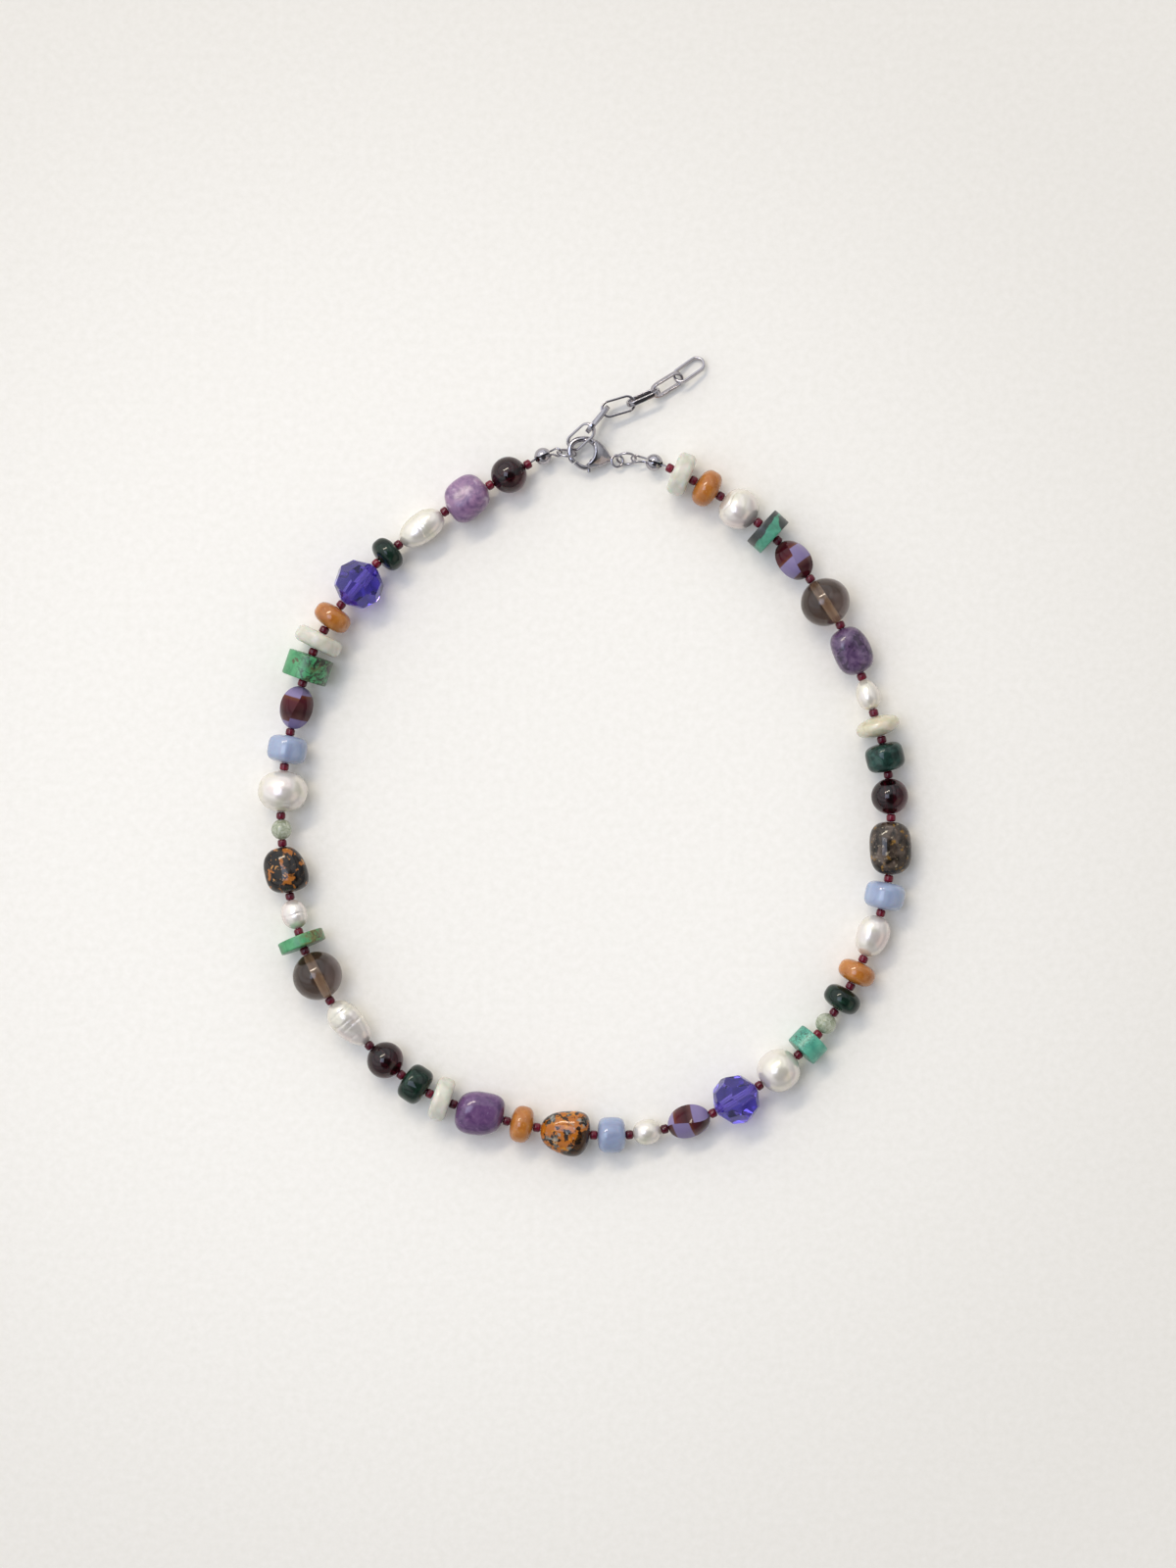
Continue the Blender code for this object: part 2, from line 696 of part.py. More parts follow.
def add_clasp_lever(frame, collection, cutters):
    """The lever turns on the hinge pin. Its origin is on the pin's axis, and at rest it closes
    the gap between the body and the tip of the hook."""
    hinge = add_object("lever_hinge", None, collection, frame)
    hinge.location = PIVOT
    bm = bmesh.new()
    bmesh.ops.create_cone(
        bm,
        cap_ends=True,
        segments=12,
        radius1=BOSS_RADIUS,
        radius2=BOSS_RADIUS,
        depth=2 * LEVER_HALF_THICKNESS,
    )
    mesh = bpy.data.meshes.new("clasp_lever")
    bm.to_mesh(mesh)
    bm.free()
    lever = add_object("clasp_lever", mesh, collection, hinge, "steel")
    for name, line, wire in (
        ("lever_arm", LEVER_LINE, LEVER_WIRE),
        ("lever_nub", NUB_LINE, NUB_WIRE),
    ):
        points = line_points(line, LEVER_REACH, LEVER_REACH)
        arm = wire_curve(name, points, [wire] * len(points), hinge, cutters, None, 2)
        boolean(lever, solid_of(arm, cutters, hinge), "UNION")
    hole = cylinder_helper(
        "lever_hole", PIN_RADIUS + PIN_PLAY, 4 * LEVER_HALF_THICKNESS, Vector(), cutters, hinge, 12
    )
    boolean(lever, hole, "DIFFERENCE")
    return lever


def seat_on_surface(parent, collection):
    """Moves the whole so that it stands on Z = 0 with its middle over the origin."""
    bpy.context.view_layer.update()
    graph = bpy.context.evaluated_depsgraph_get()
    corners = []
    for obj in collection.objects:
        if obj.type in ("MESH", "CURVE"):
            shown = obj.evaluated_get(graph)
            mesh = shown.to_mesh()
            corners += [shown.matrix_world @ vertex.co for vertex in mesh.vertices]
            shown.to_mesh_clear()
    low = Vector([min(corner[axis] for corner in corners) for axis in range(3)])
    high = Vector([max(corner[axis] for corner in corners) for axis in range(3)])
    parent.location = -Vector(((low.x + high.x) / 2, (low.y + high.y) / 2, low.z))


def main():
    clear_scene()
    collection = new_collection("beaded_necklace")
    cutters = new_collection("cutters", hidden=True)
    parent = add_object("necklace_origin", None, collection)
    seeds = seed_places()
    for row, start, end in zip(BEADS, seeds, seeds[1:]):
        add_bead(row, start, end, collection, parent)
    lift = Vector((0, 0, COVER_HEIGHT))
    covers = [LEFT_COVER + lift, RIGHT_COVER + lift]
    ring_sides = []
    for (name, place, heading, lean), cover in zip(RINGS, covers):
        ring = add_ring(name, place, heading, lean, collection, parent)
        ring_sides.append(nearest_on_ring(ring, cover))
    ends = [seeds[0], seeds[-1]]
    axes = [(seed - side).normalized() for seed, (side, _) in zip(ends, ring_sides)]
    add_string(seeds, covers, axes, ring_sides, collection, parent)
    for name, cover, axis in zip(("crimp_cover_left", "crimp_cover_right"), covers, axes):
        add_cover(name, cover, axis, collection, cutters, parent)
    add_chain(collection, parent)
    frame = clasp_frame(parent, collection)
    add_clasp_body(frame, collection, cutters)
    add_clasp_lever(frame, collection, cutters)
    seat_on_surface(parent, collection)


main()
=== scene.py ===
import math

import bmesh
import bpy
from mathutils import Euler, Matrix, Vector, noise


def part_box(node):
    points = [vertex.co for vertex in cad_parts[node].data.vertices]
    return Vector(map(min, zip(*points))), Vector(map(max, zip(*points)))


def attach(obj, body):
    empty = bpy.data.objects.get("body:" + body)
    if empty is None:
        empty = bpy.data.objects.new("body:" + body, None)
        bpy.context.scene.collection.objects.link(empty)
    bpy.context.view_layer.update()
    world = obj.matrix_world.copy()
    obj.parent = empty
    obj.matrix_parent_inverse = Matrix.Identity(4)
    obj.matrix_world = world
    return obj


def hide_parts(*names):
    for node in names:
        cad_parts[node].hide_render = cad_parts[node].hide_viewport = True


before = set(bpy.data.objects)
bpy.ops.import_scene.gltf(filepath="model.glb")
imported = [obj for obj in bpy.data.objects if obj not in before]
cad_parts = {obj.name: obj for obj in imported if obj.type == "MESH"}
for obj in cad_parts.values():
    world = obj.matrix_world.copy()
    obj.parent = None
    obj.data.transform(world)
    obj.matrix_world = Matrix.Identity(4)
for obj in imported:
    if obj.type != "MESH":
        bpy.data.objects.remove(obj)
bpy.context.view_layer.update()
mm = 0.001
print("frame loaded")

# name, form, length along the string, width, height in mm, yaw in degrees
beads = [
    ("garnet_round_1", "round", 7.2, 7.5, 7.5, 0),
    ("purple_nugget_1", "nugget", 9.1, 9.2, 8.2, 0),
    ("rice_pearl", "pearl", 10.0, 6.4, 6.0, 0),
    ("dark_green_rondelle_1", "rondelle", 4.3, 7.3, 7.3, 0),
    ("violet_faceted_1", "faceted", 9.5, 9.8, 9.8, 0),
    ("orange_rondelle_1", "rondelle", 4.6, 7.9, 7.9, 0),
    ("milky_disc_1", "disc", 3.4, 10.0, 10.0, 0),
    ("turquoise_cylinder_wide", "cylinder", 5.1, 9.4, 9.4, 0),
    ("striped_oval_1", "oval", 8.7, 6.7, 6.7, 0),
    ("blue_barrel_1", "barrel", 5.6, 8.1, 8.1, 0),
    ("oblate_pearl", "pearl", 8.4, 10.2, 9.0, 0),
    ("small_green_round_1", "round", 4.0, 4.2, 4.2, 0),
    ("brown_nugget_1", "nugget", 9.4, 9.2, 7.8, 0),
    ("coin_pearl", "pearl", 5.9, 5.5, 5.2, 0),
    ("turquoise_disc_thin", "cylinder", 2.4, 9.6, 9.6, 3),
    ("smoky_round_1", "round", 9.8, 10.2, 10.2, 0),
    ("wrinkled_pearl", "pearl", 10.6, 6.8, 6.2, 0),
    ("garnet_round_2", "round", 7.2, 7.6, 7.6, 0),
    ("dark_green_barrel_1", "barrel", 5.4, 7.9, 7.9, 0),
    ("milky_disc_2", "disc", 3.7, 9.0, 9.0, 6),
    ("purple_nugget_2", "nugget", 9.8, 9.6, 8.2, 0),
    ("orange_rondelle_2", "rondelle", 4.7, 7.6, 7.6, 0),
    ("brown_nugget_2", "nugget", 10.1, 9.4, 8.0, 0),
    ("blue_barrel_2", "barrel", 5.7, 7.3, 7.3, 0),
    ("small_pearl", "pearl", 5.7, 5.2, 5.2, 0),
    ("striped_oval_2", "oval", 8.8, 6.7, 6.7, 0),
    ("violet_faceted_2", "faceted", 9.4, 9.7, 9.7, 0),
    ("round_pearl", "pearl", 8.5, 8.7, 8.5, 0),
    ("turquoise_cylinder_small", "cylinder", 4.2, 7.2, 7.2, 0),
    ("small_green_round_2", "round", 4.0, 4.3, 4.3, 0),
    ("dark_green_rondelle_2", "rondelle", 4.7, 7.8, 7.8, 0),
    ("orange_rondelle_3", "rondelle", 4.5, 7.8, 7.8, 0),
    ("oval_pearl", "pearl", 8.5, 6.9, 6.5, 0),
    ("blue_barrel_3", "barrel", 5.6, 8.2, 8.2, 2),
    ("brown_nugget_3", "nugget", 10.8, 9.1, 8.0, 0),
    ("garnet_round_3", "round", 7.2, 7.6, 7.6, 0),
    ("dark_green_barrel_2", "barrel", 5.7, 7.9, 7.9, 3),
    ("pale_lens", "lens", 4.1, 9.1, 9.1, 0),
    ("drop_pearl", "pearl", 6.2, 4.8, 4.8, 0),
    ("purple_nugget_3", "nugget", 9.8, 8.2, 7.8, 0),
    ("smoky_round_2", "round", 9.6, 10.2, 10.2, 0),
    ("striped_oval_3", "oval", 8.7, 6.7, 6.7, 0),
    ("turquoise_disc_dark", "cylinder", 3.8, 8.6, 8.6, 0),
    ("banded_pearl", "pearl", 7.8, 8.6, 8.2, 0),
    ("orange_rondelle_4", "rondelle", 4.8, 7.8, 7.8, 0),
    ("milky_disc_3", "disc", 3.8, 8.9, 8.9, 6),
]

# a turned bead: how square its profile is (2 is an ellipse), its rows and its steps round the
# bore; a sawn bead: the rounding of its edges in mm; a cut bead: its rows of facets in degrees
forms = {
    "round": {"power": 2.0, "rows": 26, "steps": 48},
    "rondelle": {"power": 2.7, "rows": 24, "steps": 48},
    "lens": {"power": 2.2, "rows": 24, "steps": 48},
    "barrel": {"power": 3.6, "rows": 26, "steps": 48},
    "nugget": {"power": 2.7, "rows": 40, "steps": 64},
    "pearl": {"power": 2.2, "rows": 76, "steps": 64},
    "disc": {"edge": 1.25, "segments": 7, "cuts": 3, "steps": 56},
    "cylinder": {"edge": 0.22, "segments": 3, "cuts": 7, "steps": 56},
    "faceted": {"sides": 8, "rows": (62, 21, -21, -62), "depth": 0.95, "phase": 12, "ends": 0.985},
    "oval": {"power": 2.15, "rows": 40, "steps": 72},
}
# the oval's long flat sides, which keep clear of its hole by this many bore radii
pressed = {"ridges": 4, "flat": 0.50, "twist": 0.35, "clear": 1.3}

# taper, lean and dent as shares of the half width, and lumps in mm with their size in mm
uneven = {
    "purple_nugget_1": (0.05, 0.10, 0.05, 0.30, 4.0),
    "brown_nugget_1": (0.12, 0.10, 0.04, 0.22, 4.5),
    "purple_nugget_2": (-0.02, 0.16, 0.05, 0.25, 5.0),
    "brown_nugget_2": (0.24, 0.00, 0.05, 0.25, 5.0),
    "brown_nugget_3": (0.04, 0.05, 0.04, 0.22, 5.0),
    "purple_nugget_3": (-0.02, 0.02, 0.05, 0.25, 4.5),
    "rice_pearl": (-0.05, 0.00, 0.02, 0.12, 3.0),
    "coin_pearl": (0.00, 0.04, 0.03, 0.10, 3.0),
    "oblate_pearl": (0.00, 0.00, 0.00, 0.10, 5.0),
    "wrinkled_pearl": (-0.10, 0.06, 0.05, 0.22, 3.0),
    "oval_pearl": (0.08, 0.00, 0.03, 0.10, 3.5),
    "drop_pearl": (-0.10, 0.00, 0.00, 0.06, 3.0),
    "small_pearl": (0.00, 0.00, 0.00, 0.06, 3.0),
    "round_pearl": (0.00, 0.00, 0.00, 0.06, 5.0),
    "banded_pearl": (0.06, 0.00, 0.02, 0.14, 4.0),
}

# grooves that run round a pearl: place along it from -1 to 1, width and depth in mm
grooves = {
    "rice_pearl": [(-0.34, 0.45, 0.13), (-0.22, 0.40, 0.15), (-0.10, 0.40, 0.15),
                   (0.03, 0.40, 0.12), (0.20, 0.50, 0.08)],
    "wrinkled_pearl": [(-0.62, 0.5, 0.16), (-0.40, 0.45, 0.14), (-0.16, 0.4, 0.15),
                       (0.04, 0.5, 0.18), (0.28, 0.45, 0.14), (0.50, 0.5, 0.14)],
    "oblate_pearl": [(0.62, 0.6, 0.10)],
    "banded_pearl": [(0.35, 0.5, 0.18), (0.62, 0.4, 0.14)],
    "coin_pearl": [(0.1, 0.4, 0.10)],
}

# the string's way over the surface, first seed bead to last, as in the frame's own drawing
route = [
    (-12.3, 58.4), (-29.3, 48.7), (-43.1, 38.1), (-53.7, 24.6), (-58.1, 13.9), (-61.8, -3.0),
    (-62.3, -18.6), (-58.9, -36.7), (-52.6, -50.6), (-38.2, -65.8), (-27.6, -71.8),
    (-10.7, -76.6), (8.2, -78.2), (25.6, -73.6), (42.9, -61.8), (50.2, -53.1), (56.0, -42.6),
    (61.2, -26.2), (61.2, -5.1), (58.2, 7.7), (51.3, 25.7), (38.6, 42.9), (27.0, 51.9),
    (16.7, 57.6),
]
string = {"bore": 0.65, "wall": 0.81, "seedSpace": 1.6, "curveSteps": 24, "fittings": 12}


def smoothCurve(points, steps):
    ends = [points[0] * 2 - points[1]] + list(points) + [points[-1] * 2 - points[-2]]
    curve = []
    for before, start, end, after in zip(ends, ends[1:], ends[2:], ends[3:]):
        span = (end - start).length
        leave = (end - before) * (span / (span + (start - before).length))
        arrive = (after - start) * (span / (span + (after - end).length))
        for step in range(steps):
            t = step / steps
            curve.append(start * (2 * t**3 - 3 * t**2 + 1) + leave * (t**3 - 2 * t**2 + t)
                         + end * (3 * t**2 - 2 * t**3) + arrive * (t**3 - t**2))
    return curve + [points[-1]]


def distancesAlong(curve):
    run = [0.0]
    for start, end in zip(curve, curve[1:]):
        run.append(run[-1] + (end - start).length)
    return run


def pointAt(curve, run, distance):
    for index in range(1, len(run)):
        if run[index] >= distance or index == len(run) - 1:
            share = (distance - run[index - 1]) / (run[index] - run[index - 1])
            return curve[index - 1].lerp(curve[index], share)


# the loop is let out or drawn in until it is as long as the beads on it
def routeCurve(length):
    points = [Vector((x, y, 0)) for x, y in route]
    gate = (points[0] + points[-1]) / 2
    growth = 1.0
    for _ in range(string["fittings"]):
        grown = [gate + (point - gate) * growth for point in points[1:-1]]
        curve = smoothCurve([points[0], *grown, points[-1]], string["curveSteps"])
        run = distancesAlong(curve)
        growth *= length / run[-1]
    return curve, run


def seedPlaces():
    lengths = [row[2] for row in beads]
    heights = [row[4] for row in beads]
    curve, run = routeCurve(sum(lengths) + string["seedSpace"] * len(lengths))
    places, distance = [], 0.0
    for index in range(len(lengths) + 1):
        place = pointAt(curve, run, distance)
        beside = heights[max(index - 1, 0):index + 1]
        places.append(Vector((place.x, place.y, max(beside) / 2)))
        if index < len(lengths):
            distance += lengths[index] + string["seedSpace"]
    return places


# local Z runs along the string, X level and across it, Y up
def frameAlong(direction, yaw=0.0):
    forward = Matrix.Rotation(math.radians(yaw), 3, "Z") @ direction.normalized()
    across = Vector((0, 0, 1)).cross(forward).normalized()
    return Matrix((across, forward.cross(across), forward)).transposed()


# the frame stands on the floor with its middle over the origin: one bead's box gives the shift
seeds = seedPlaces()
low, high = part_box("smoky_round_1")
smoky = [row[0] for row in beads].index("smoky_round_1")
shift = (Vector(low) + Vector(high)) / 2 / mm - (seeds[smoky] + seeds[smoky + 1]) / 2
seeds = [place + shift for place in seeds]
beadPlaces = {}
for row, start, end in zip(beads, seeds, seeds[1:]):
    beadPlaces[row[0]] = ((start + end) / 2, frameAlong(end - start, row[5]))
print("string laid out, shift", [round(value, 3) for value in shift])


def addObject(name, data):
    thing = bpy.data.objects.new(name, data)
    bpy.context.scene.collection.objects.link(thing)
    return thing


def meshFrom(name, bm):
    mesh = bpy.data.meshes.new(name)
    bm.to_mesh(mesh)
    bm.free()
    return mesh


def wholeOf(bm):
    return bm.verts[:] + bm.edges[:] + bm.faces[:]


# straight above, in mm: the picture's middle, the camera's height and what it takes in
view = {"middle": (0.63, -5.82), "height": 900, "beadHeight": 4, "frameHeight": 320, "sensor": 24,
        "shape": 0.75}
cameraData = bpy.data.cameras.new("camera")
cameraData.sensor_fit = "VERTICAL"
cameraData.sensor_height = view["sensor"]
cameraData.sensor_width = view["sensor"] * view["shape"]
cameraData.lens = view["sensor"] * (view["height"] - view["beadHeight"]) / view["frameHeight"]
cameraData.clip_start, cameraData.clip_end = 0.05, 10
camera = addObject("camera", cameraData)
camera.location = (view["middle"][0] * mm, view["middle"][1] * mm, view["height"] * mm)
bpy.context.scene.camera = camera
bpy.context.scene.view_settings.view_transform = "Standard"

# direction from the necklace, distance, width, height in m, watts and colour
lights = {
    "windowTop": ((-0.30, 0.54, 0.79), 2.4, 1.30, 0.24, 18, "#fff3de"),
    "windowSky": ((-0.33, 0.02, 0.94), 2.4, 1.10, 1.05, 13, "#c9d4f0"),
    "roomFill": ((0.75, -0.45, 0.50), 2.4, 1.8, 1.3, 3, "#ffe2c4"),
}


def hexColour(code):
    parts = [int(code[place:place + 2], 16) / 255 for place in (1, 3, 5)]
    return (*[part / 12.92 if part <= 0.04045 else ((part + 0.055) / 1.055) ** 2.4
              for part in parts], 1.0)


for lightName, (direction, distance, width, height, watts, colour) in lights.items():
    lamp = bpy.data.lights.new(lightName, "AREA")
    lamp.shape, lamp.size, lamp.size_y = "RECTANGLE", width, height
    lamp.energy, lamp.color = watts, hexColour(colour)[:3]
    lampObject = addObject(lightName, lamp)
    lampObject.location = Vector(direction).normalized() * distance
    lampObject.rotation_euler = Vector(direction).to_track_quat("Z", "Y").to_euler()


# adds one node, with its settings, its ramp stops if it has any and what its sockets get, and
# hands back one of its outputs
def addNode(tree, kind, sockets=None, stops=None, out=0, **settings):
    node = tree.nodes.new("ShaderNode" + kind)
    for key, value in settings.items():
        setattr(node, key, value)
    if stops:
        ramp = node.color_ramp.elements
        while len(ramp) < len(stops):
            ramp.new(0.5)
        for element, (place, code) in zip(ramp, stops):
            element.position = place
            element.color = hexColour(code)
    for key, value in (sockets or {}).items():
        if isinstance(value, bpy.types.NodeSocket):
            tree.links.new(value, node.inputs[key])
        else:
            node.inputs[key].default_value = value
    return node.outputs[out]


# the room: bright by the window at the upper left, dim on the far side, with bands that steel
# and pearls mirror, and dark straight overhead
world = bpy.data.worlds.new("room")
bpy.context.scene.world = world
world.use_nodes = True
room = world.node_tree
background = room.nodes["Background"]
around = addNode(room, "TexCoord", out="Generated")
facing = addNode(room, "VectorMath", {0: around, 1: (-0.5, 0.5, 0.7)}, out="Value",
                 operation="DOT_PRODUCT")
shade = addNode(room, "ValToRGB", {"Fac": facing}, [
    (0.0, "#8f9193"), (0.30, "#cbced2"), (0.38, "#74767c"), (0.48, "#dfe3e7"), (0.66, "#eef1f6"),
    (0.74, "#b7bac1"), (0.82, "#eef1f6"), (1.0, "#fdffff")])
behind = addNode(room, "VectorMath", {0: around, 1: (0.16, -0.30, 0.94)}, out="Value",
                 operation="DOT_PRODUCT")
overhead = addNode(room, "MapRange", {
    "Value": behind, "From Min": 0.74, "From Max": 0.90, "To Max": 0.92},
    interpolation_type="SMOOTHSTEP")
shade = addNode(room, "Mix", {0: overhead, 6: shade, 7: hexColour("#1c1a1c")}, out=2,
                data_type="RGBA")
room.links.new(shade, background.inputs["Color"])
background.inputs["Strength"].default_value = 1.41


def newMaterial(name, sockets):
    material = bpy.data.materials.new(name)
    material.use_nodes = True
    shader = material.node_tree.nodes["Principled BSDF"]
    for key, value in sockets.items():
        shader.inputs[key].default_value = value
    return material, material.node_tree, shader


# a material with one grain all through it, which can tint it, dull it and give it relief in mm
def grainedMaterial(name, sockets, pattern, stops=None, gloss=None, relief=None):
    material, tree, shader = newMaterial(name, sockets)
    coords = addNode(tree, "TexCoord", out="Object")
    grain = addNode(tree, "TexNoise", {"Vector": coords, **pattern})
    if stops:
        tint = addNode(tree, "ValToRGB", {"Fac": grain}, stops)
        tree.links.new(tint, shader.inputs["Base Color"])
    if gloss:
        dulling = addNode(tree, "MapRange", {"Value": grain, **gloss})
        tree.links.new(dulling, shader.inputs["Roughness"])
    if relief:
        strength, depth = relief
        bump = addNode(tree, "Bump", {
            "Height": grain, "Strength": strength, "Distance": depth * mm})
        tree.links.new(bump, shader.inputs["Normal"])
    return material


# drawing paper: matt and nearly white, with a soft tooth of about 1.5 mm, and a sheet in m; painted
# shade darkens its colour toward the sheet's edges, standing in for daylight that fades there
sheet = {"half": 0.6, "paintedLightMiddle": (-0.035, -0.008, 0), "fadeFrom": 0.06, "fadeTo": 0.20,
         "fade": 0.27, "far": "#b8b2a7"}
paper = grainedMaterial("drawingPaper", {"Roughness": 0.9, "Specular IOR Level": 0.2}, {
    "Scale": 1 / (1.5 * mm), "Detail": 4.0, "Roughness": 0.6}, [
    (0.3, "#f2efe8"), (0.7, "#f8f5ef")], relief=(0.5, 0.12))
tree = paper.node_tree
paperColour = tree.nodes["Principled BSDF"].inputs["Base Color"]
# painted shade: the farther the paper lies from its painted bright middle, the more its colour is
# mixed toward a darker grey brown, as light falling off across the sheet would look
away = addNode(tree, "VectorMath", {
    0: addNode(tree, "TexCoord", out="Object"), 1: sheet["paintedLightMiddle"]}, out="Value",
    operation="DISTANCE")
fade = addNode(tree, "MapRange", {
    "Value": away, "From Min": sheet["fadeFrom"], "From Max": sheet["fadeTo"],
    "To Max": sheet["fade"]}, interpolation_type="SMOOTHSTEP")
paintedFalloffMix = addNode(tree, "Mix", {
    0: fade, 6: paperColour.links[0].from_socket, 7: hexColour(sheet["far"])}, out=2,
    data_type="RGBA")
tree.links.new(paintedFalloffMix, paperColour)
bm = bmesh.new()
bmesh.ops.create_grid(bm, x_segments=1, y_segments=1, size=sheet["half"])
floor = addObject("floor", meshFrom("floor", bm))
floor.data.materials.append(paper)
print("camera, light and floor ready")


def addPiece(name, bm, materials, nodes, body="necklace", sharp=40):
    mesh = meshFrom(name, bm)
    for material in materials:
        mesh.materials.append(material)
    if sharp:
        mesh.shade_smooth()
        mesh.set_sharp_from_angle(angle=math.radians(sharp))
    piece = addObject(name, mesh)
    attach(piece, body)
    if nodes:
        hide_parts(*nodes)


# puts a shape made in mm about its own middle where it belongs
def putAt(bm, place, turn=Matrix.Identity(3)):
    bmesh.ops.transform(bm, verts=bm.verts, matrix=Matrix.Translation(place * mm)
                        @ turn.to_4x4() @ Matrix.Scale(mm, 4))


def evaluatedMesh(obj):
    bpy.context.view_layer.update()
    mesh = bpy.data.meshes.new_from_object(obj.evaluated_get(bpy.context.evaluated_depsgraph_get()))
    data = obj.data
    bpy.data.objects.remove(obj)
    if isinstance(data, bpy.types.Mesh):
        bpy.data.meshes.remove(data)
    return mesh


# round wire along one or more lines of points
def tubeAlong(bm, lines, radius, sides, cyclic=False):
    data = bpy.data.curves.new("tube", "CURVE")
    data.dimensions = "3D"
    data.bevel_depth = radius if isinstance(radius, (int, float)) else 1.0
    data.bevel_resolution = max(sides // 4 - 1, 0)
    data.use_fill_caps = not cyclic
    for line in lines:
        spline = data.splines.new("POLY")
        spline.points.add(len(line) - 1)
        for index, (point, place) in enumerate(zip(spline.points, line)):
            point.co = (*place, 1)
            if not isinstance(radius, (int, float)):
                point.radius = radius[index]
        spline.use_cyclic_u = cyclic
    mesh = evaluatedMesh(addObject("tube", data))
    bm.from_mesh(mesh)
    bpy.data.meshes.remove(mesh)
    bmesh.ops.remove_doubles(bm, verts=bm.verts, dist=0.002)
    bmesh.ops.recalc_face_normals(bm, faces=bm.faces)


def turnShape(bm, degrees, axis):
    bmesh.ops.rotate(bm, verts=bm.verts, cent=(0, 0, 0),
                     matrix=Matrix.Rotation(math.radians(degrees), 3, axis))


# straight edges from corner to corner, and back to the first
def closedOutline(bm, places):
    corners = [bm.verts.new(place) for place in places]
    for start, end in zip(corners, corners[1:] + corners[:1]):
        bm.edges.new((start, end))


def spinClosed(bm, steps):
    bmesh.ops.spin(bm, geom=bm.verts[:] + bm.edges[:], cent=(0, 0, 0), axis=(0, 0, 1),
                   angle=2 * math.pi, steps=steps, use_merge=True)
    bmesh.ops.remove_doubles(bm, verts=bm.verts, dist=0.001)
    bmesh.ops.recalc_face_normals(bm, faces=bm.faces)


# a bead turned from an arc: one point swung from hole to hole, squared off, then spun
def turnedBead(bm, length, radius, bore, power, rows, steps):
    start = math.asin((bore / radius) ** (power / 2))
    full = math.cos(start) ** (2 / power)
    first = bm.verts.new((math.sin(start), 0, math.cos(start)))
    bmesh.ops.spin(bm, geom=[first], cent=(0, 0, 0), axis=(0, 1, 0),
                   angle=math.pi - 2 * start, steps=rows)
    for vertex in bm.verts:
        along = math.copysign(abs(vertex.co.z) ** (2 / power), vertex.co.z)
        vertex.co.z = length / 2 * along / full
        vertex.co.x = radius * abs(vertex.co.x) ** (2 / power)
    bm.edges.new([vertex for vertex in bm.verts if len(vertex.link_edges) == 1])
    spinClosed(bm, steps)


# a bead sawn and drilled from rod: four corners spun, its two outer edges rounded over
def sawnBead(bm, length, radius, bore, edge, segments, cuts, steps):
    half = length / 2
    closedOutline(bm, [(bore, 0, half), (radius, 0, half), (radius, 0, -half), (bore, 0, -half)])
    spinClosed(bm, steps)
    rims = [line for line in bm.edges if all(
        vertex.co.xy.length > radius - 0.01 for vertex in line.verts)
        and abs(line.verts[0].co.z - line.verts[1].co.z) < 0.01]
    bmesh.ops.bevel(bm, geom=rims, offset=edge, segments=segments, profile=0.5,
                    affect="EDGES", material=-1)
    walls = [line for line in bm.edges if abs(line.verts[0].co.z - line.verts[1].co.z)
             > (length - 2 * edge) * 0.9 and line.verts[0].co.xy.length > radius - 0.01]
    bmesh.ops.subdivide_edges(bm, edges=walls, cuts=cuts, use_grid_fill=True)


# a cut bead: a block ground down by one plane for each facet, its ends drilled through
def cutBead(bm, length, radius, bore, sides, rows, depth, phase, ends):
    bmesh.ops.create_cube(bm, size=4)
    planes = [Vector((0, 0, 1)), Vector((0, 0, -1))]
    for count, latitude in enumerate(rows):
        for side in range(sides):
            turn = 2 * math.pi * (side + 0.5 * (count % 2)) / sides + math.radians(phase)
            level = math.cos(math.radians(latitude))
            planes.append(Vector((level * math.cos(turn), level * math.sin(turn),
                                  math.sin(math.radians(latitude)))))
    for plane in planes:
        reach = depth if abs(plane.z) < 0.999 else ends
        cut = bmesh.ops.bisect_plane(bm, geom=wholeOf(bm), dist=1e-5, plane_co=plane * reach,
                                     plane_no=plane, clear_outer=True)
        rim = [item for item in cut["geom_cut"] if isinstance(item, bmesh.types.BMEdge)]
        if rim:
            bmesh.ops.edgeloop_fill(bm, edges=rim)
    bmesh.ops.scale(bm, vec=(radius, radius, length / 2 / ends), verts=bm.verts)
    bmesh.ops.remove_doubles(bm, verts=bm.verts, dist=0.002)
    bmesh.ops.recalc_face_normals(bm, faces=bm.faces)
    drilledFaces = [face for face in bm.faces if abs(face.normal.z) > 0.999]
    loops = []
    for face in drilledFaces:
        across = min((line.verts[0].co + line.verts[1].co).xy.length / 2 for line in face.edges)
        bmesh.ops.inset_individual(bm, faces=[face], thickness=across - bore)
        loops += list(face.edges)
    bmesh.ops.delete(bm, geom=drilledFaces, context="FACES_ONLY")
    bmesh.ops.bridge_loops(bm, edges=loops)
    bmesh.ops.recalc_face_normals(bm, faces=bm.faces)
    if bm.calc_volume(signed=True) < 0:
        bmesh.ops.reverse_faces(bm, faces=bm.faces)


# presses long flat sides between ridges that run, slightly twisted, from hole to hole
def pressSides(bm, length, bore, ridges, flat, twist, clear):
    half = math.pi / ridges
    for vertex in bm.verts:
        angle = math.atan2(vertex.co.y, vertex.co.x)
        inside = math.cos(half) / math.cos((angle + 2 * math.pi) % (2 * half) - half)
        if vertex.co.xy.length > bore * clear:
            vertex.co.xy *= 1 - flat * (1 - inside)
        vertex.co = Matrix.Rotation(twist * vertex.co.z / length * 2, 3, "Z") @ vertex.co


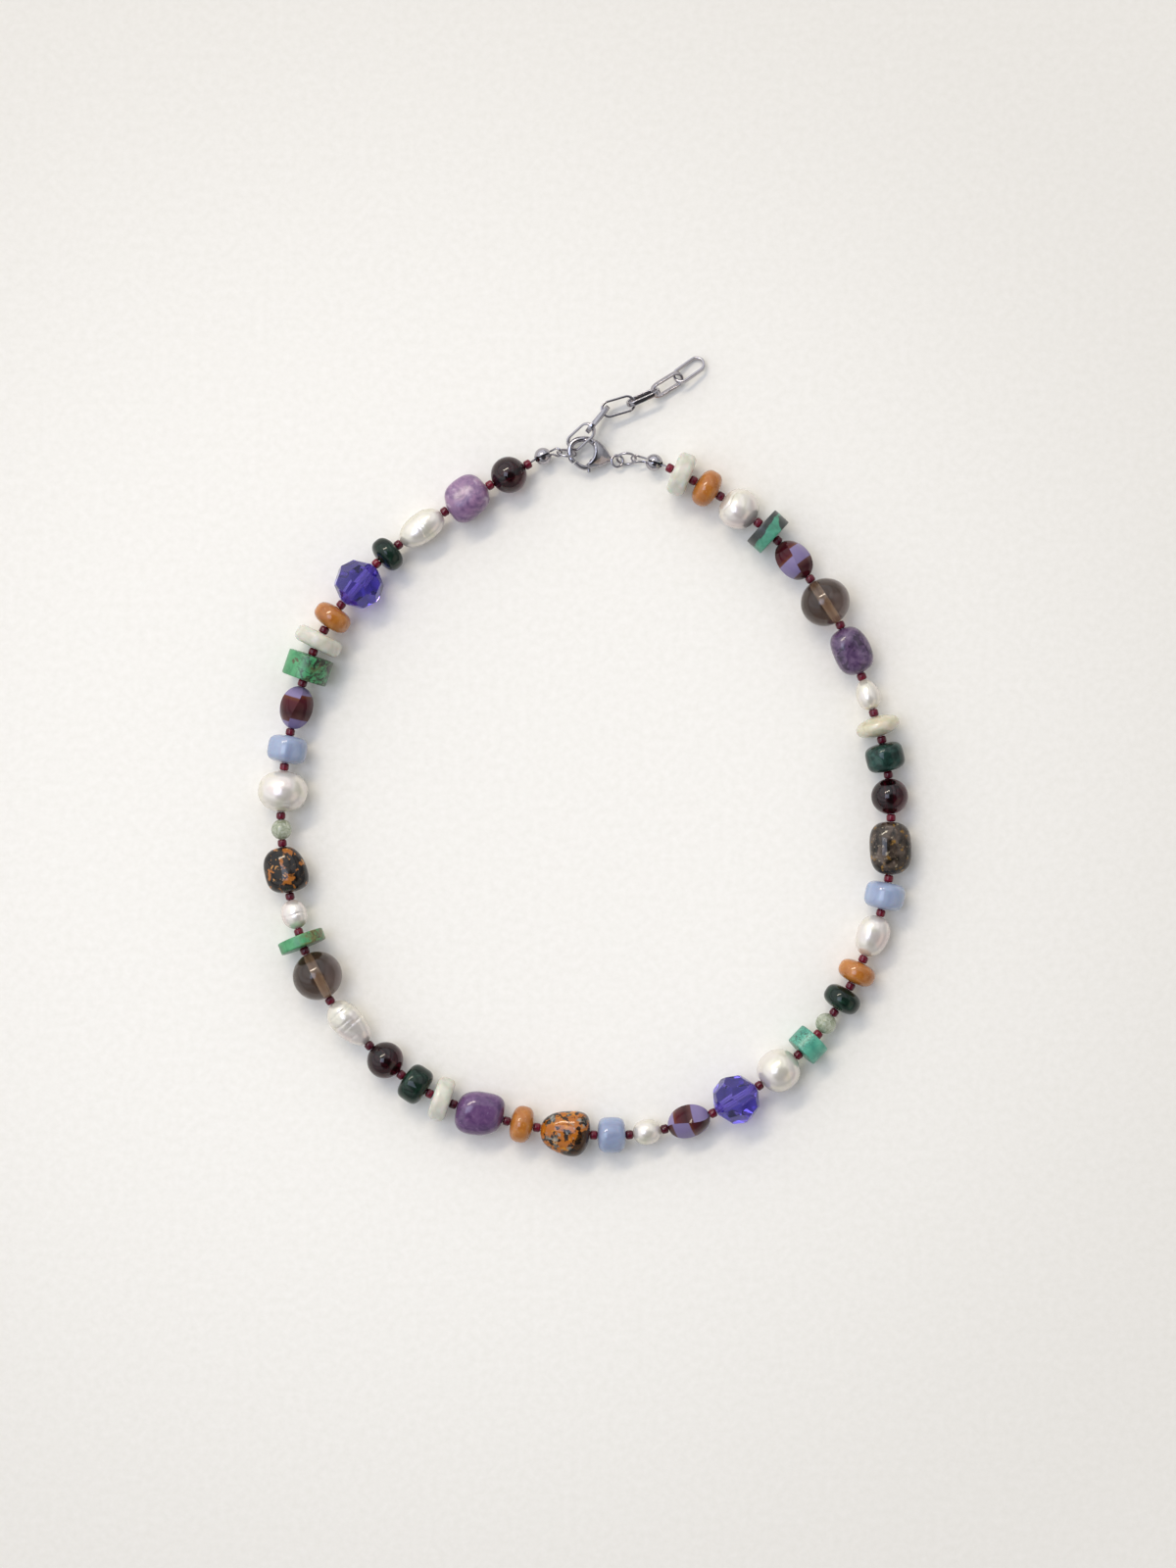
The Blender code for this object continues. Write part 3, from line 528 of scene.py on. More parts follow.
# dents round a bead and where they start, how far lumps lie below the plain form, a groove's
# wander in mm and over how many mm, the steady and the swinging part of its depth, how far that
# swing turns along the bead, and what holds the whole back toward the ends and near the hole
worn = {"dents": 3, "dentsFrom": 0.6, "sink": 0.3, "wander": 0.35, "wanderSize": 2.0,
        "depth": (0.45, 0.55), "turn": 9, "endward": 0.6, "holeFade": 3}


# what tumbling or growth leaves: the same taper, lean and dents as the frame, then lumps
def roughenBead(bm, name, length, width, height, bore):
    taper, lean, dent, lump, lumpSize = uneven.get(name, (0, 0, 0, 0, 1))
    steady, swing = worn["depth"]
    span = width / 2 - bore
    offset = Vector((len(name) * 3.7, length * 5.1, 0))
    for vertex in bm.verts:
        radius = vertex.co.xy.length
        outside = (radius - bore) / span
        if outside < 0.01:
            continue
        along = vertex.co.z / (length / 2)
        angle = math.atan2(vertex.co.y, vertex.co.x)
        dents = 1 + math.cos(worn["dents"] * angle + worn["dentsFrom"])
        swell = 1 + taper * along - dent * dents * outside
        level = bore + (height / 2 - bore) * outside
        vertex.co.x = vertex.co.x * swell + lean * along * outside * width / 2
        vertex.co.y = vertex.co.y * swell * level / radius
        push = 0.0
        if lump:
            push += lump * noise.noise(vertex.co / lumpSize + offset) - worn["sink"] * lump
        for place, breadth, depth in grooves.get(name, []):
            wander = worn["wander"] * noise.noise(vertex.co / worn["wanderSize"] + offset)
            gap = (along - place) * length / 2 + wander
            part = steady + swing * math.sin(angle + place * worn["turn"])
            push -= depth * part * math.exp(-(gap / breadth * 2) ** 2)
        outward = Vector((*vertex.co.xy, vertex.co.z * worn["endward"])).normalized()
        vertex.co += outward * push * min(outside * worn["holeFade"], 1)


# each stone's own look. grain: size in mm, detail, distortion. layers over it: size in mm,
# detail, distortion, where it shows, colour, amount and sometimes the side that it keeps to, as
# direction, from, to in mm. Where it shows is two values of its pattern for patches, three for
# thin lines, or direction, distance and raggedness in mm for all that lies past a border.
# bump: size in mm, strength. blocks: sides, length in mm, shift from side to side, begin, and
# twistedOver: the length in mm over which those sides twist
looks = {
    # almandine garnet, polished: dark wine glass, so deep that it reads as black
    "garnet": {
        "name": "almandineGarnet", "grain": (4.0, 2, 1.0),
        "stops": [(0.3, "#460617"), (0.7, "#5f0d22")],
        "shader": {"Roughness": 0.02, "IOR": 1.50, "Transmission Weight": 1.0,
                   "Specular IOR Level": 0.25}},
    # charoite, tumbled: satin lilac with wisps of paler fibre
    "purple": {
        "name": "tumbledCharoite", "grain": (3.2, 6, 2.2),
        "stops": [(0.28, "#5f446a"), (0.46, "#826386"), (0.60, "#947291"), (0.76, "#ac8ea3")],
        "layers": [(2.2, 8, 1.2, (0.54, 0.72), "#c9b6c6", 0.55),
                   (1.8, 7, 1.0, (0.56, 0.68), "#54406c", 0.5)],
        "bump": (0.5, 0.12),
        "shader": {"Roughness": 0.30, "IOR": 1.55, "Coat Weight": 0.25, "Coat Roughness": 0.25}},
    # freshwater pearl: cream nacre that mirrors softly, with a breath of pink and green
    "pearl": {
        "name": "freshwaterNacre", "grain": (5.0, 3, 0.8),
        "stops": [(0.30, "#d3d1be"), (0.45, "#e1dbcd"), (0.58, "#e4ddd6"), (0.72, "#dfd1cc")],
        "bump": (0.9, 0.10),
        "shader": {"Metallic": 0.42, "Roughness": 0.24, "IOR": 1.55, "Coat Weight": 0.25,
                   "Coat Roughness": 0.16}},
    # moss jade, polished: near black green with cloudy lighter patches
    "dark_green": {
        "name": "mossJade", "grain": (2.5, 5, 1.5),
        "stops": [(0.35, "#0a1711"), (0.55, "#14291f"), (0.75, "#284738")],
        "shader": {"Roughness": 0.06, "IOR": 1.50, "Specular IOR Level": 0.35}},
    # cut glass of violet blue: clear, with flat bright facets
    "violet": {
        "name": "violetCutGlass", "grain": (6.0, 1, 0.0),
        "stops": [(0.3, "#5d49c5"), (0.7, "#7b69d6")],
        "shader": {"Roughness": 0.01, "IOR": 1.50, "Transmission Weight": 0.95}},
    # orange aventurine, polished: waxy and slightly translucent, lighter at its edges
    "orange": {
        "name": "orangeAventurine", "grain": (3.0, 5, 0.8),
        "stops": [(0.3, "#9c5a1d"), (0.5, "#ae6b29"), (0.72, "#c0803a")],
        "layers": [(0.35, 2, 0.0, (0.6, 0.72), "#d9a468", 0.35)],
        "shader": {"Roughness": 0.10, "IOR": 1.55, "Subsurface Weight": 0.12,
                   "Subsurface Scale": 0.0012, "Coat Weight": 0.2, "Coat Roughness": 0.04}},
    # milky serpentine: soft white with cream clouds, wax polish
    "milky": {
        "name": "milkySerpentine", "grain": (4.0, 4, 1.6),
        "stops": [(0.3, "#c8c8b6"), (0.5, "#d9d8ca"), (0.7, "#e8e6da")],
        "shader": {"Roughness": 0.24, "IOR": 1.50, "Transmission Weight": 0.15,
                   "Subsurface Weight": 0.5, "Subsurface Scale": 0.002, "Coat Weight": 0.25,
                   "Coat Roughness": 0.08}},
    # green turquoise: waxy and matt, with a brown and black web of matrix
    "turquoise": {
        "name": "greenTurquoise", "grain": (1.8, 6, 0.8),
        "stops": [(0.32, "#2f7547"), (0.50, "#3f8f5b"), (0.68, "#51a26b")],
        "bump": (0.4, 0.25),
        "shader": {"Roughness": 0.36, "IOR": 1.60, "Coat Weight": 0.15, "Coat Roughness": 0.3}},
    # pressed glass of two colours: solid lilac and clear maroon, which fade to amber where
    # they meet; each side of the bead begins its blocks at a place of its own
    "striped": {
        "name": "twoColourGlass", "grain": (0.5, 3, 1.0), "blocks": (4, 7.4, 0.79, 0.386),
        "twistedOver": 8.7,
        "stops": [(0.0, "#7a6d96"), (0.44, "#85789f"), (0.465, "#63301a"), (0.55, "#4b0b18"),
                  (0.82, "#330711"), (0.975, "#553433"), (1.0, "#7a6d96")],
        "shader": {"Roughness": 0.04, "IOR": 1.50, "Specular IOR Level": 0.28}},
    # blue chalcedony, polished: cloudy grey blue with faint bands
    "blue": {
        "name": "blueChalcedony", "grain": (5.0, 4, 1.2), "stretch": (1.0, 1.0, 0.35),
        "stops": [(0.32, "#828aa6"), (0.5, "#919eba"), (0.7, "#a3afc6")],
        "shader": {"Roughness": 0.10, "IOR": 1.54, "Subsurface Weight": 0.25,
                   "Subsurface Scale": 0.001, "Coat Weight": 0.25, "Coat Roughness": 0.04}},
    # green quartz, polished: half clear, full of fine flakes
    "small_green": {
        "name": "greenQuartz", "grain": (0.6, 5, 0.8),
        "stops": [(0.35, "#a0a98c"), (0.5, "#c4cab3"), (0.68, "#e0e4d4")],
        "shader": {"Roughness": 0.10, "IOR": 1.54, "Transmission Weight": 0.45}},
    # breccia jasper, polished: black with rust orange flecks and slate blue windows
    "brown": {
        "name": "brecciaJasper", "grain": (2.6, 5, 1.0),
        "stops": [(0.36, "#0f0c0a"), (0.50, "#1a1410"), (0.62, "#2e2925"), (0.74, "#454146")],
        "layers": [(2.0, 7, 0.5, (0.555, 0.6), "#a8662a", 0.9),
                   (1.1, 6, 0.4, (0.62, 0.67), "#c98f4c", 0.8)],
        "shader": {"Roughness": 0.08, "IOR": 1.50, "Specular IOR Level": 0.4}},
    # smoky quartz: clear brown glass
    "smoky": {
        "name": "smokyQuartz", "grain": (5.0, 2, 1.0),
        "stops": [(0.3, "#877062"), (0.7, "#9c8677")],
        "shader": {"Roughness": 0.01, "IOR": 1.545, "Transmission Weight": 1.0}},
    # pale prehnite: cloudy yellow green
    "pale": {
        "name": "palePrehnite", "grain": (3.0, 4, 1.4),
        "stops": [(0.3, "#b3ae8e"), (0.5, "#cec8ae"), (0.7, "#ded9c6")],
        "shader": {"Roughness": 0.12, "IOR": 1.58, "Subsurface Weight": 0.4,
                   "Subsurface Scale": 0.0015, "Coat Weight": 0.3, "Coat Roughness": 0.05}},
}


borderFade = 0.15  # mm over which a ragged border fades


# a stone's material, with its pattern held in the bead's own directions and in millimetres
def stoneMaterial(name, look, place, turn, number):
    material, tree, shader = newMaterial(name, look["shader"])
    inward = turn.transposed()
    local = addNode(tree, "Mapping", {
        "Vector": addNode(tree, "TexCoord", out="Object"),
        "Location": -(inward @ place), "Rotation": inward.to_euler(), "Scale": (1 / mm,) * 3})
    stretched = addNode(tree, "VectorMath", {0: local, 1: look.get("stretch", (1, 1, 1))},
                        operation="MULTIPLY")
    size, detail, distortion = look["grain"]
    # W gives each bead a cut of its own through the noise, so that no two are alike
    value = addNode(tree, "TexNoise", {
        "Vector": stretched, "W": number * 1.37, "Scale": 1 / size, "Detail": detail,
        "Distortion": distortion}, noise_dimensions="4D")
    if "blocks" in look:
        sides, span, offset, begin = look["blocks"]
        axes = addNode(tree, "SeparateXYZ", {0: local}).node.outputs
        angle = addNode(tree, "Math", {0: axes["Y"], 1: axes["X"]}, operation="ARCTAN2")
        angle = addNode(tree, "Math", {
            0: axes["Z"], 1: -2 * pressed["twist"] / look["twistedOver"], 2: angle},
            operation="MULTIPLY_ADD")
        side = addNode(tree, "Math", {0: angle, 1: sides / 2 / math.pi}, operation="MULTIPLY")
        side = addNode(tree, "Math", {0: side}, operation="FLOOR")
        # 9 whole blocks more keep the run above zero all over the bead
        start = addNode(tree, "Math", {0: side, 1: offset, 2: begin + 9},
                        operation="MULTIPLY_ADD")
        run = addNode(tree, "Math", {0: axes["Z"], 1: 1 / span, 2: start},
                      operation="MULTIPLY_ADD")
        value = addNode(tree, "Math", {0: run}, operation="FRACT")
    colour = addNode(tree, "ValToRGB", {"Fac": value}, look["stops"])
    for count, layer in enumerate(look.get("layers", [])):
        size, detail, distortion, shows, tint, amount, *side = layer
        pattern = addNode(tree, "TexNoise", {
            "Vector": stretched, "W": number * 2.11 + count * 5.3, "Scale": 1 / size,
            "Detail": detail, "Distortion": distortion}, noise_dimensions="4D")
        if isinstance(shows[0], tuple):
            toward, edge, ragged = shows
            reach = addNode(tree, "VectorMath", {0: local, 1: toward}, out="Value",
                            operation="DOT_PRODUCT")
            reach = addNode(tree, "Math", {0: pattern, 1: ragged, 2: reach},
                            operation="MULTIPLY_ADD")
            edge += ragged / 2
            mask = addNode(tree, "MapRange", {
                "Value": reach, "From Min": edge, "From Max": edge + borderFade})
        elif len(shows) == 3:
            mask = addNode(tree, "ValToRGB", {"Fac": pattern}, list(zip(
                shows, ("#000000", "#ffffff", "#000000"))))
        else:
            mask = addNode(tree, "MapRange", {
                "Value": pattern, "From Min": shows[0], "From Max": shows[1]})
        for toward, near, far in side:
            reach = addNode(tree, "VectorMath", {0: local, 1: toward}, out="Value",
                            operation="DOT_PRODUCT")
            amount = addNode(tree, "MapRange", {
                "Value": reach, "From Min": near, "From Max": far, "To Max": amount})
        amount = addNode(tree, "Math", {0: mask, 1: amount}, operation="MULTIPLY")
        colour = addNode(tree, "Mix", {0: amount, 6: colour, 7: hexColour(tint)}, out=2,
                         data_type="RGBA")
    tree.links.new(colour, shader.inputs["Base Color"])
    if "bump" in look:
        size, strength = look["bump"]
        height = addNode(tree, "TexNoise", {"Vector": local, "Scale": 1 / size, "Detail": 3.0})
        relief = addNode(tree, "Bump", {
            "Height": height, "Strength": strength, "Distance": 0.1 * mm})
        tree.links.new(relief, shader.inputs["Normal"])
    return material


# what single beads show beside their kind
ownLooks = {
    "striped_oval_1": {"blocks": (4, 9.5, 0.92, 0.753)},
    "striped_oval_2": {"blocks": (4, 7.4, 0.605, 0.80)},
    "wrinkled_pearl": {"bump": (1.1, 0.9)},
    "rice_pearl": {"bump": (0.8, 0.25)},
    "dark_green_barrel_2": {"stops": [(0.35, "#10201b"), (0.55, "#1f3832"), (0.75, "#375850")]},
    "purple_nugget_2": {
        "stops": [(0.28, "#4a3257"), (0.46, "#5f416b"), (0.60, "#6b4c75"), (0.78, "#7f6285")],
        "layers": [(0.6, 4, 0.3, (0.66, 0.74), "#a893b4", 0.6)],
        "shader": {"Roughness": 0.16, "IOR": 1.52, "Coat Weight": 0.2, "Coat Roughness": 0.08}},
    "purple_nugget_3": {
        "stops": [(0.28, "#33243d"), (0.46, "#533d5e"), (0.60, "#67516f"), (0.78, "#7f6886")],
        "layers": [(2.0, 8, 0.8, (0.58, 0.64), "#2a1c30", 0.7),
                   (0.8, 6, 0.5, (0.64, 0.72), "#9685a0", 0.5)],
        "shader": {"Roughness": 0.20, "IOR": 1.52, "Coat Weight": 0.2, "Coat Roughness": 0.1}},
    "turquoise_cylinder_wide": {"layers": [
        (2.4, 9, 0.5, (0.5, 0.6), "#4c5632", 0.75, ((1, 0, 0), -1.5, 0.8)),
        (2.2, 8, 0.4, (0.62, 0.65), "#4f3a20", 0.85),
        (1.9, 9, 0.7, (0.47, 0.505, 0.54), "#1a130f", 0.95, ((1, 0, 0), -2.8, -0.6)),
        (1.1, 8, 0.7, (0.52, 0.57), "#1d1712", 0.92, ((1, 0, 0), -1.2, 1.2))]},
    "turquoise_disc_thin": {"layers": [
        (1.6, 6, 1.2, (0.4, 0.55), "#6d6a36", 0.95, ((1, 0, 0), -0.5, 2.0)),
        (0.9, 6, 1.5, (0.52, 0.6), "#4b3a22", 0.9, ((1, 0, 0), 0.5, 3.0))]},
    "turquoise_cylinder_small": {
        "stops": [(0.32, "#3d8f7c"), (0.50, "#4fa38a"), (0.68, "#66b69c")],
        "layers": [(1.0, 6, 2.0, (0.46, 0.5, 0.54), "#16130f", 1.0, ((1, 0, 0), -1.0, 1.0))]},
    "turquoise_disc_dark": {
        "stops": [(0.32, "#2f735c"), (0.50, "#3c886d"), (0.68, "#4e997e")],
        "layers": [
            (2.6, 8, 0.6, ((0.1, 0, 1), 0.4, 2.2), "#2c2a2c", 0.96),
            (2.0, 8, 0.6, ((-1, 0, -0.8), 3.3, 2.6), "#292728", 0.94),
            (0.5, 4, 0.0, (0.6, 0.7), "#5c5c52", 0.35)]},
    "brown_nugget_2": {
        "stops": [(0.34, "#17130f"), (0.46, "#2c2822"), (0.54, "#6f6b62"), (0.68, "#a29d90")],
        "layers": [
            (2.6, 7, 0.6, (0.455, 0.5), "#b0651a", 0.95),
            (1.5, 6, 0.5, (0.56, 0.62), "#cc8626", 0.8),
            (1.5, 8, 0.8, (0.53, 0.57), "#16120f", 0.95),
            (1.2, 6, 0.5, (0.6, 0.64), "#8f918f", 0.7),
            (2.4, 7, 0.5, ((-0.6, 0.2, 1), 3.9, 4.0), "#17130f", 0.9)]},
    "brown_nugget_3": {
        "stops": [(0.34, "#1f1a16"), (0.48, "#3d332b"), (0.62, "#5e5148"), (0.76, "#7d7166")],
        "layers": [
            (1.8, 8, 0.4, (0.52, 0.6), "#17140f", 0.85),
            (1.6, 8, 0.4, (0.58, 0.64), "#8f6a2c", 0.85),
            (0.8, 7, 0.3, (0.6, 0.68), "#b3a68c", 0.6)]},
}

# drilled glass: the drill's rough wall, seen through the bead as a pale frosted line
drilled = {key: grainedMaterial("drilled" + key.title(), {
    "Base Color": hexColour(code), "Roughness": 0.5, "IOR": 1.5, "Transmission Weight": 0.45}, {
    "Scale": 1 / (0.3 * mm), "Detail": 2.0}, relief=(0.4, 0.05)) for key, code in (
    ("garnet", "#3a0a12"), ("violet", "#ffffff"), ("smoky", "#fff0d8"), ("striped", "#4a0f1c"))}


# degrees between faces from which an edge stays sharp
sharpFrom = {"faceted": None, "oval": 22, "else": 38}


def kindOf(name):
    return next((key for key in looks if name.startswith(key)), "pearl")


for number, (name, form, length, width, height, yaw) in enumerate(beads):
    place, turn = beadPlaces[name]
    kind = kindOf(name)
    shape = forms[form]
    bm = bmesh.new()
    makeBead = turnedBead if "power" in shape else sawnBead if "edge" in shape else cutBead
    makeBead(bm, length, width / 2, string["bore"], **shape)
    if form == "oval":
        pressSides(bm, length, string["bore"], **pressed)
    elif form != "faceted":
        roughenBead(bm, name, length, width, height, string["bore"])
    look = {**looks[kind], **ownLooks.get(name, {})}
    materials = [stoneMaterial(look["name"] + str(number + 1), look, place, turn, number)]
    if kind in drilled:
        materials.append(drilled[kind])
        for face in bm.faces:
            face.material_index = int(all(
                vertex.co.xy.length < string["wall"] for vertex in face.verts))
    putAt(bm, place, turn)
    for vertex in bm.verts:
        vertex.co.z = max(vertex.co.z, 0)
    addPiece("bead_" + name, bm, materials, [name],
             sharp=sharpFrom.get(form, sharpFrom["else"]))
print(len(beads), "main beads made")


# pressed glass, opaque and glossy: deep burgundy
seedBead = {"length": 1.5, "radius": 0.98, "hole": 0.42,
            "cut": {"edge": 0.42, "segments": 3, "cuts": 0, "steps": 14}}
seedGlass = grainedMaterial("burgundyGlass", {
    "Roughness": 0.07, "IOR": 1.50, "Specular IOR Level": 0.4}, {
    "Scale": 1 / (6 * mm), "Detail": 2.0}, [
    (0.35, "#450b1b"), (0.5, "#611026"), (0.65, "#76182b")])
bm = bmesh.new()
for index, place in enumerate(seeds):
    before, after = seeds[max(index - 1, 0)], seeds[min(index + 1, len(seeds) - 1)]
    direction = (place - before).normalized() + (after - place).normalized()
    one = bmesh.new()
    # no two are quite the same size, and each sits a little askew
    radius = seedBead["radius"] * (0.97 + 0.05 * noise.noise(place))
    sawnBead(one, seedBead["length"], radius, seedBead["hole"], **seedBead["cut"])
    putAt(one, place, frameAlong(direction, 5 * noise.noise(place * 1.3)))
    seedMesh = meshFrom("seed", one)
    bm.from_mesh(seedMesh)
    bpy.data.meshes.remove(seedMesh)
addPiece("seed_beads", bm, [seedGlass], [], sharp=50)
print("seed beads strung")


# stainless steel, tumble polished: bright, with fine handling marks about 0.3 mm apart
steel = grainedMaterial("polishedSteel", {"Metallic": 1.0}, {
    "Scale": 1 / (0.3 * mm), "Detail": 4.0, "Distortion": 1.5}, [
    (0.3, "#a5a1a6"), (0.7, "#b7b3b8")],
    {"From Min": 0.3, "From Max": 0.7, "To Min": 0.05, "To Max": 0.10}, relief=(0.03, 0.02))

# the same steel with painted shade in each crimp cover's deep groove and hole: dark grey for the
# shadow there, and dull
paintedShadeSteel = grainedMaterial("steelWithPaintedShade", {"Metallic": 0.9}, {
    "Scale": 1 / (0.4 * mm), "Detail": 3.0}, [
    (0.3, "#2b2829"), (0.7, "#4a4647")], {"To Min": 0.4, "To Max": 0.7})


ring = {"radius": 1.9, "wire": 0.27, "steps": 44, "sides": 14, "gap": 4, "gapAt": 200}
# name, middle in mm, heading and lean in degrees
rings = [
    ("jump_ring_left", (-4.35, 60.85, 2.2), -8, 113),
    ("jump_ring_right", (7.85, 59.72, 1.8), 0, 58),
]
ringPlaces = {}
for name, place, heading, lean in rings:
    bm = bmesh.new()
    bmesh.ops.create_circle(bm, cap_ends=True, segments=ring["sides"], radius=ring["wire"])
    turnShape(bm, 90, "X")
    bmesh.ops.translate(bm, verts=bm.verts, vec=(ring["radius"], 0, 0))
    turnShape(bm, ring["gapAt"], "Z")
    bmesh.ops.spin(bm, geom=wholeOf(bm), cent=(0, 0, 0), axis=(0, 0, 1),
                   angle=math.radians(360 - ring["gap"]), steps=ring["steps"])
    bmesh.ops.recalc_face_normals(bm, faces=bm.faces)
    turn = Euler((math.radians(lean), 0, math.radians(heading))).to_matrix()
    middle = Vector(place) + shift
    ringPlaces[name] = (middle, turn)
    putAt(bm, middle, turn)
    addPiece(name + "_wire", bm, [steel], [name], sharp=50)
print("jump rings made")


cover = {"radius": 1.75, "bore": 0.62, "groove": 0.13, "shoulder": 0.21, "depth": 0.55,
         "height": 2.4, "skin": 1.7, "paintedShadeWithin": 1.58, "ball": {"power": 2.0, "rows": 30, "steps": 56}}
coverPlaces = [Vector((-9.2, 60.2, cover["height"])) + shift,
               Vector((13.5, 58.9, cover["height"])) + shift]
# the wire's way in, out to its loop, back in and on, as shares of the cover's radius from the
# cover's middle
loop = {"radius": 0.85, "turn": 115, "steps": 24, "spread": 0.37,
        "stations": (-0.1, -1.15, 0.15, 1.1)}
wire = {"radius": 0.22, "strands": 6, "strand": 0.078, "lay": 1.9, "step": 0.12, "core": 0.92}


# the point of a ring nearest to its cover, and the way the ring's wire climbs there
def nearestOnRing(name, place):
    middle, turn = ringPlaces[name]
    local = turn.transposed() @ (place - middle)
    level = Vector((local.x, local.y, 0)).normalized()
    rise = turn @ Vector((-level.y, level.x, 0))
    return middle + turn @ (level * ring["radius"]), rise if rise.z >= 0 else -rise


def endLoop(ringSide, rise, place, axis):
    across = Vector((0, 0, 1)).cross(axis).normalized() * loop["spread"]
    start, mouth, end, onward = [place + axis * cover["radius"] * share
                                 for share in loop["stations"]]
    outward = (ringSide - mouth).normalized()
    sideways = rise.cross(outward).normalized()
    points = [start + across, mouth + across]
    for step in range(loop["steps"] + 1):
        angle = math.radians(loop["turn"] * (1 - 2 * step / loop["steps"]))
        points.append(ringSide + (outward * math.cos(angle) - sideways * math.sin(angle))
                      * loop["radius"])
    return points + [mouth - across, end - across, onward]


# six strands laid round a core, as real beading wire is made
def laidWire(bm, points):
    line = smoothCurve(points, 3)
    run = distancesAlong(line)
    count = int(run[-1] / wire["step"])
    path = [pointAt(line, run, run[-1] * step / count) for step in range(count + 1)]
    side = (path[1] - path[0]).orthogonal().normalized()
    strands = [[] for _ in range(wire["strands"])]
    for index, point in enumerate(path):
        ahead = (path[min(index + 1, count)] - path[max(index - 1, 0)]).normalized()
        side = (side - ahead * side.dot(ahead)).normalized()
        up = ahead.cross(side)
        for number, strand in enumerate(strands):
            angle = 2 * math.pi * (number / wire["strands"] + run[-1] * index / count / wire["lay"])
            strand.append(point + (side * math.cos(angle) + up * math.sin(angle))
                          * (wire["radius"] - wire["strand"]))
    tubeAlong(bm, strands, wire["strand"], 8)


ringSides = [nearestOnRing("jump_ring_left", coverPlaces[0]),
             nearestOnRing("jump_ring_right", coverPlaces[1])]
axes = [(end - side[0]).normalized() for end, side in zip((seeds[0], seeds[-1]), ringSides)]
first = endLoop(*ringSides[0], coverPlaces[0], axes[0])
last = endLoop(*ringSides[1], coverPlaces[1], axes[1])
bm = bmesh.new()
laidWire(bm, first + [seeds[0]])
laidWire(bm, last + [seeds[-1]])
tubeAlong(bm, [seeds], wire["radius"] * wire["core"], 12)
putAt(bm, Vector())
addPiece("beading_wire", bm, [steel], ["stringing_wire"], sharp=50)

for name, place, axis in zip(("crimp_cover_left", "crimp_cover_right"), coverPlaces, axes):
    bm = bmesh.new()
    half = math.sqrt(cover["radius"] ** 2 - cover["bore"] ** 2)
    turnedBead(bm, 2 * half, cover["radius"], cover["bore"], **cover["ball"])
    for reach in (-cover["shoulder"], -cover["groove"], cover["groove"], cover["shoulder"]):
        bmesh.ops.bisect_plane(bm, geom=wholeOf(bm), dist=0.004, plane_co=(reach, 0, 0),
                               plane_no=(1, 0, 0))
    for vertex in bm.verts:
        if vertex.co.y > cover["bore"] / 2 and vertex.co.length > cover["skin"]:
            if abs(vertex.co.x) < cover["groove"] + 0.01:
                vertex.co *= 1 - cover["depth"] / cover["radius"]
    # painted shade: faces that lie deep in the groove and the bore take the dark grey, duller steel
    for face in bm.faces:
        face.material_index = int(all(
            vertex.co.length < cover["paintedShadeWithin"] for vertex in face.verts))
    putAt(bm, place, frameAlong(axis))
    addPiece(name + "_ball", bm, [steel, paintedShadeSteel], [name], sharp=35)
print("wire, loops and covers made")


chain = {"length": 7.4, "width": 3.6, "slack": 0.9, "thickness": 0.5, "strip": 1.0, "edge": 0.16,
         "steps": 36, "first": (-1.4, 64.15, 3.15), "secondLift": 0.4}
# heading, pitch and roll in degrees
links = [(40, 31, -4), (51, -24, 90), (17, -6.5, 4), (24, -0.5, -69), (32, -1.5, 44),
         (36, -11, -22)]


def linkTurn(heading, pitch, roll):
    return (Matrix.Rotation(math.radians(heading), 3, "Z")
            @ Matrix.Rotation(math.radians(-pitch), 3, "Y")
            @ Matrix.Rotation(math.radians(roll), 3, "X"))


# a ring of flat strip, rolled over at its edges, then drawn out to an oval
def chainLink(bm):
    outer, half = chain["width"] / 2, chain["strip"] / 2
    inner = outer - chain["thickness"]
    closedOutline(bm, [(inner, 0, -half), (outer, 0, -half), (outer, 0, half), (inner, 0, half)])
    turnShape(bm, 90 + 180 / chain["steps"], "Z")
    spinClosed(bm, chain["steps"])
    long = [line for line in bm.edges
            if abs(line.verts[0].co.z - line.verts[1].co.z) < 0.01
            and abs(line.verts[0].co.xy.length - line.verts[1].co.xy.length) < 0.01]
    bmesh.ops.bevel(bm, geom=long, offset=chain["edge"], segments=3, profile=0.5,
                    affect="EDGES", material=-1)
    straight = (chain["length"] - chain["width"]) / 2
    for vertex in bm.verts:
        vertex.co.x += math.copysign(straight, vertex.co.x)


reach = chain["length"] / 2 - chain["thickness"] - chain["slack"] / 2
joint = Vector(chain["first"]) + shift - linkTurn(*links[0]) @ Vector((1, 0, 0)) * reach
for index, angles in enumerate(links):
    turn = linkTurn(*angles)
    along = turn @ Vector((1, 0, 0))
    if index == 1:
        joint.z += chain["secondLift"]
    bm = bmesh.new()
    chainLink(bm)
    putAt(bm, joint + along * reach, turn)
    addPiece(f"link_{index + 1}_strip", bm, [steel], [f"chain_link_{index + 1}"], sharp=50)
    joint += along * reach * 2
print("chain made")


clasp = {
    "place": (6.0, 59.3, 1.4), "heading": -8, "pitch": 7, "tailRadius": 1.16, "tailWire": 0.28,
    "tilt": 6.5, "length": 5.9, "halfWidth": 3.15, "halfThickness": 1.5, "square": 2.5,
    "hookWire": (0.64, 0.54), "hookReach": 9.95, "voxel": 0.06, "mouth": (7.6, 2.6),
    "steps": 72, "capRings": 10, "softenings": 5,
    "profile": [(0.17, 0.10), (0.26, 0.17), (0.38, 0.40), (0.56, 0.68), (0.76, 0.88),
                (0.90, 0.97), (0.97, 0.94), (1.0, 0.84)],
    "hook": [(0.50, 0.86), (0.62, 1.09), (0.74, 1.10), (0.87, 0.98), (0.96, 0.75), (1.0, 0.46),
             (1.0, 0.14), (0.97, -0.17), (0.94, -0.35), (0.885, -0.50)],
}
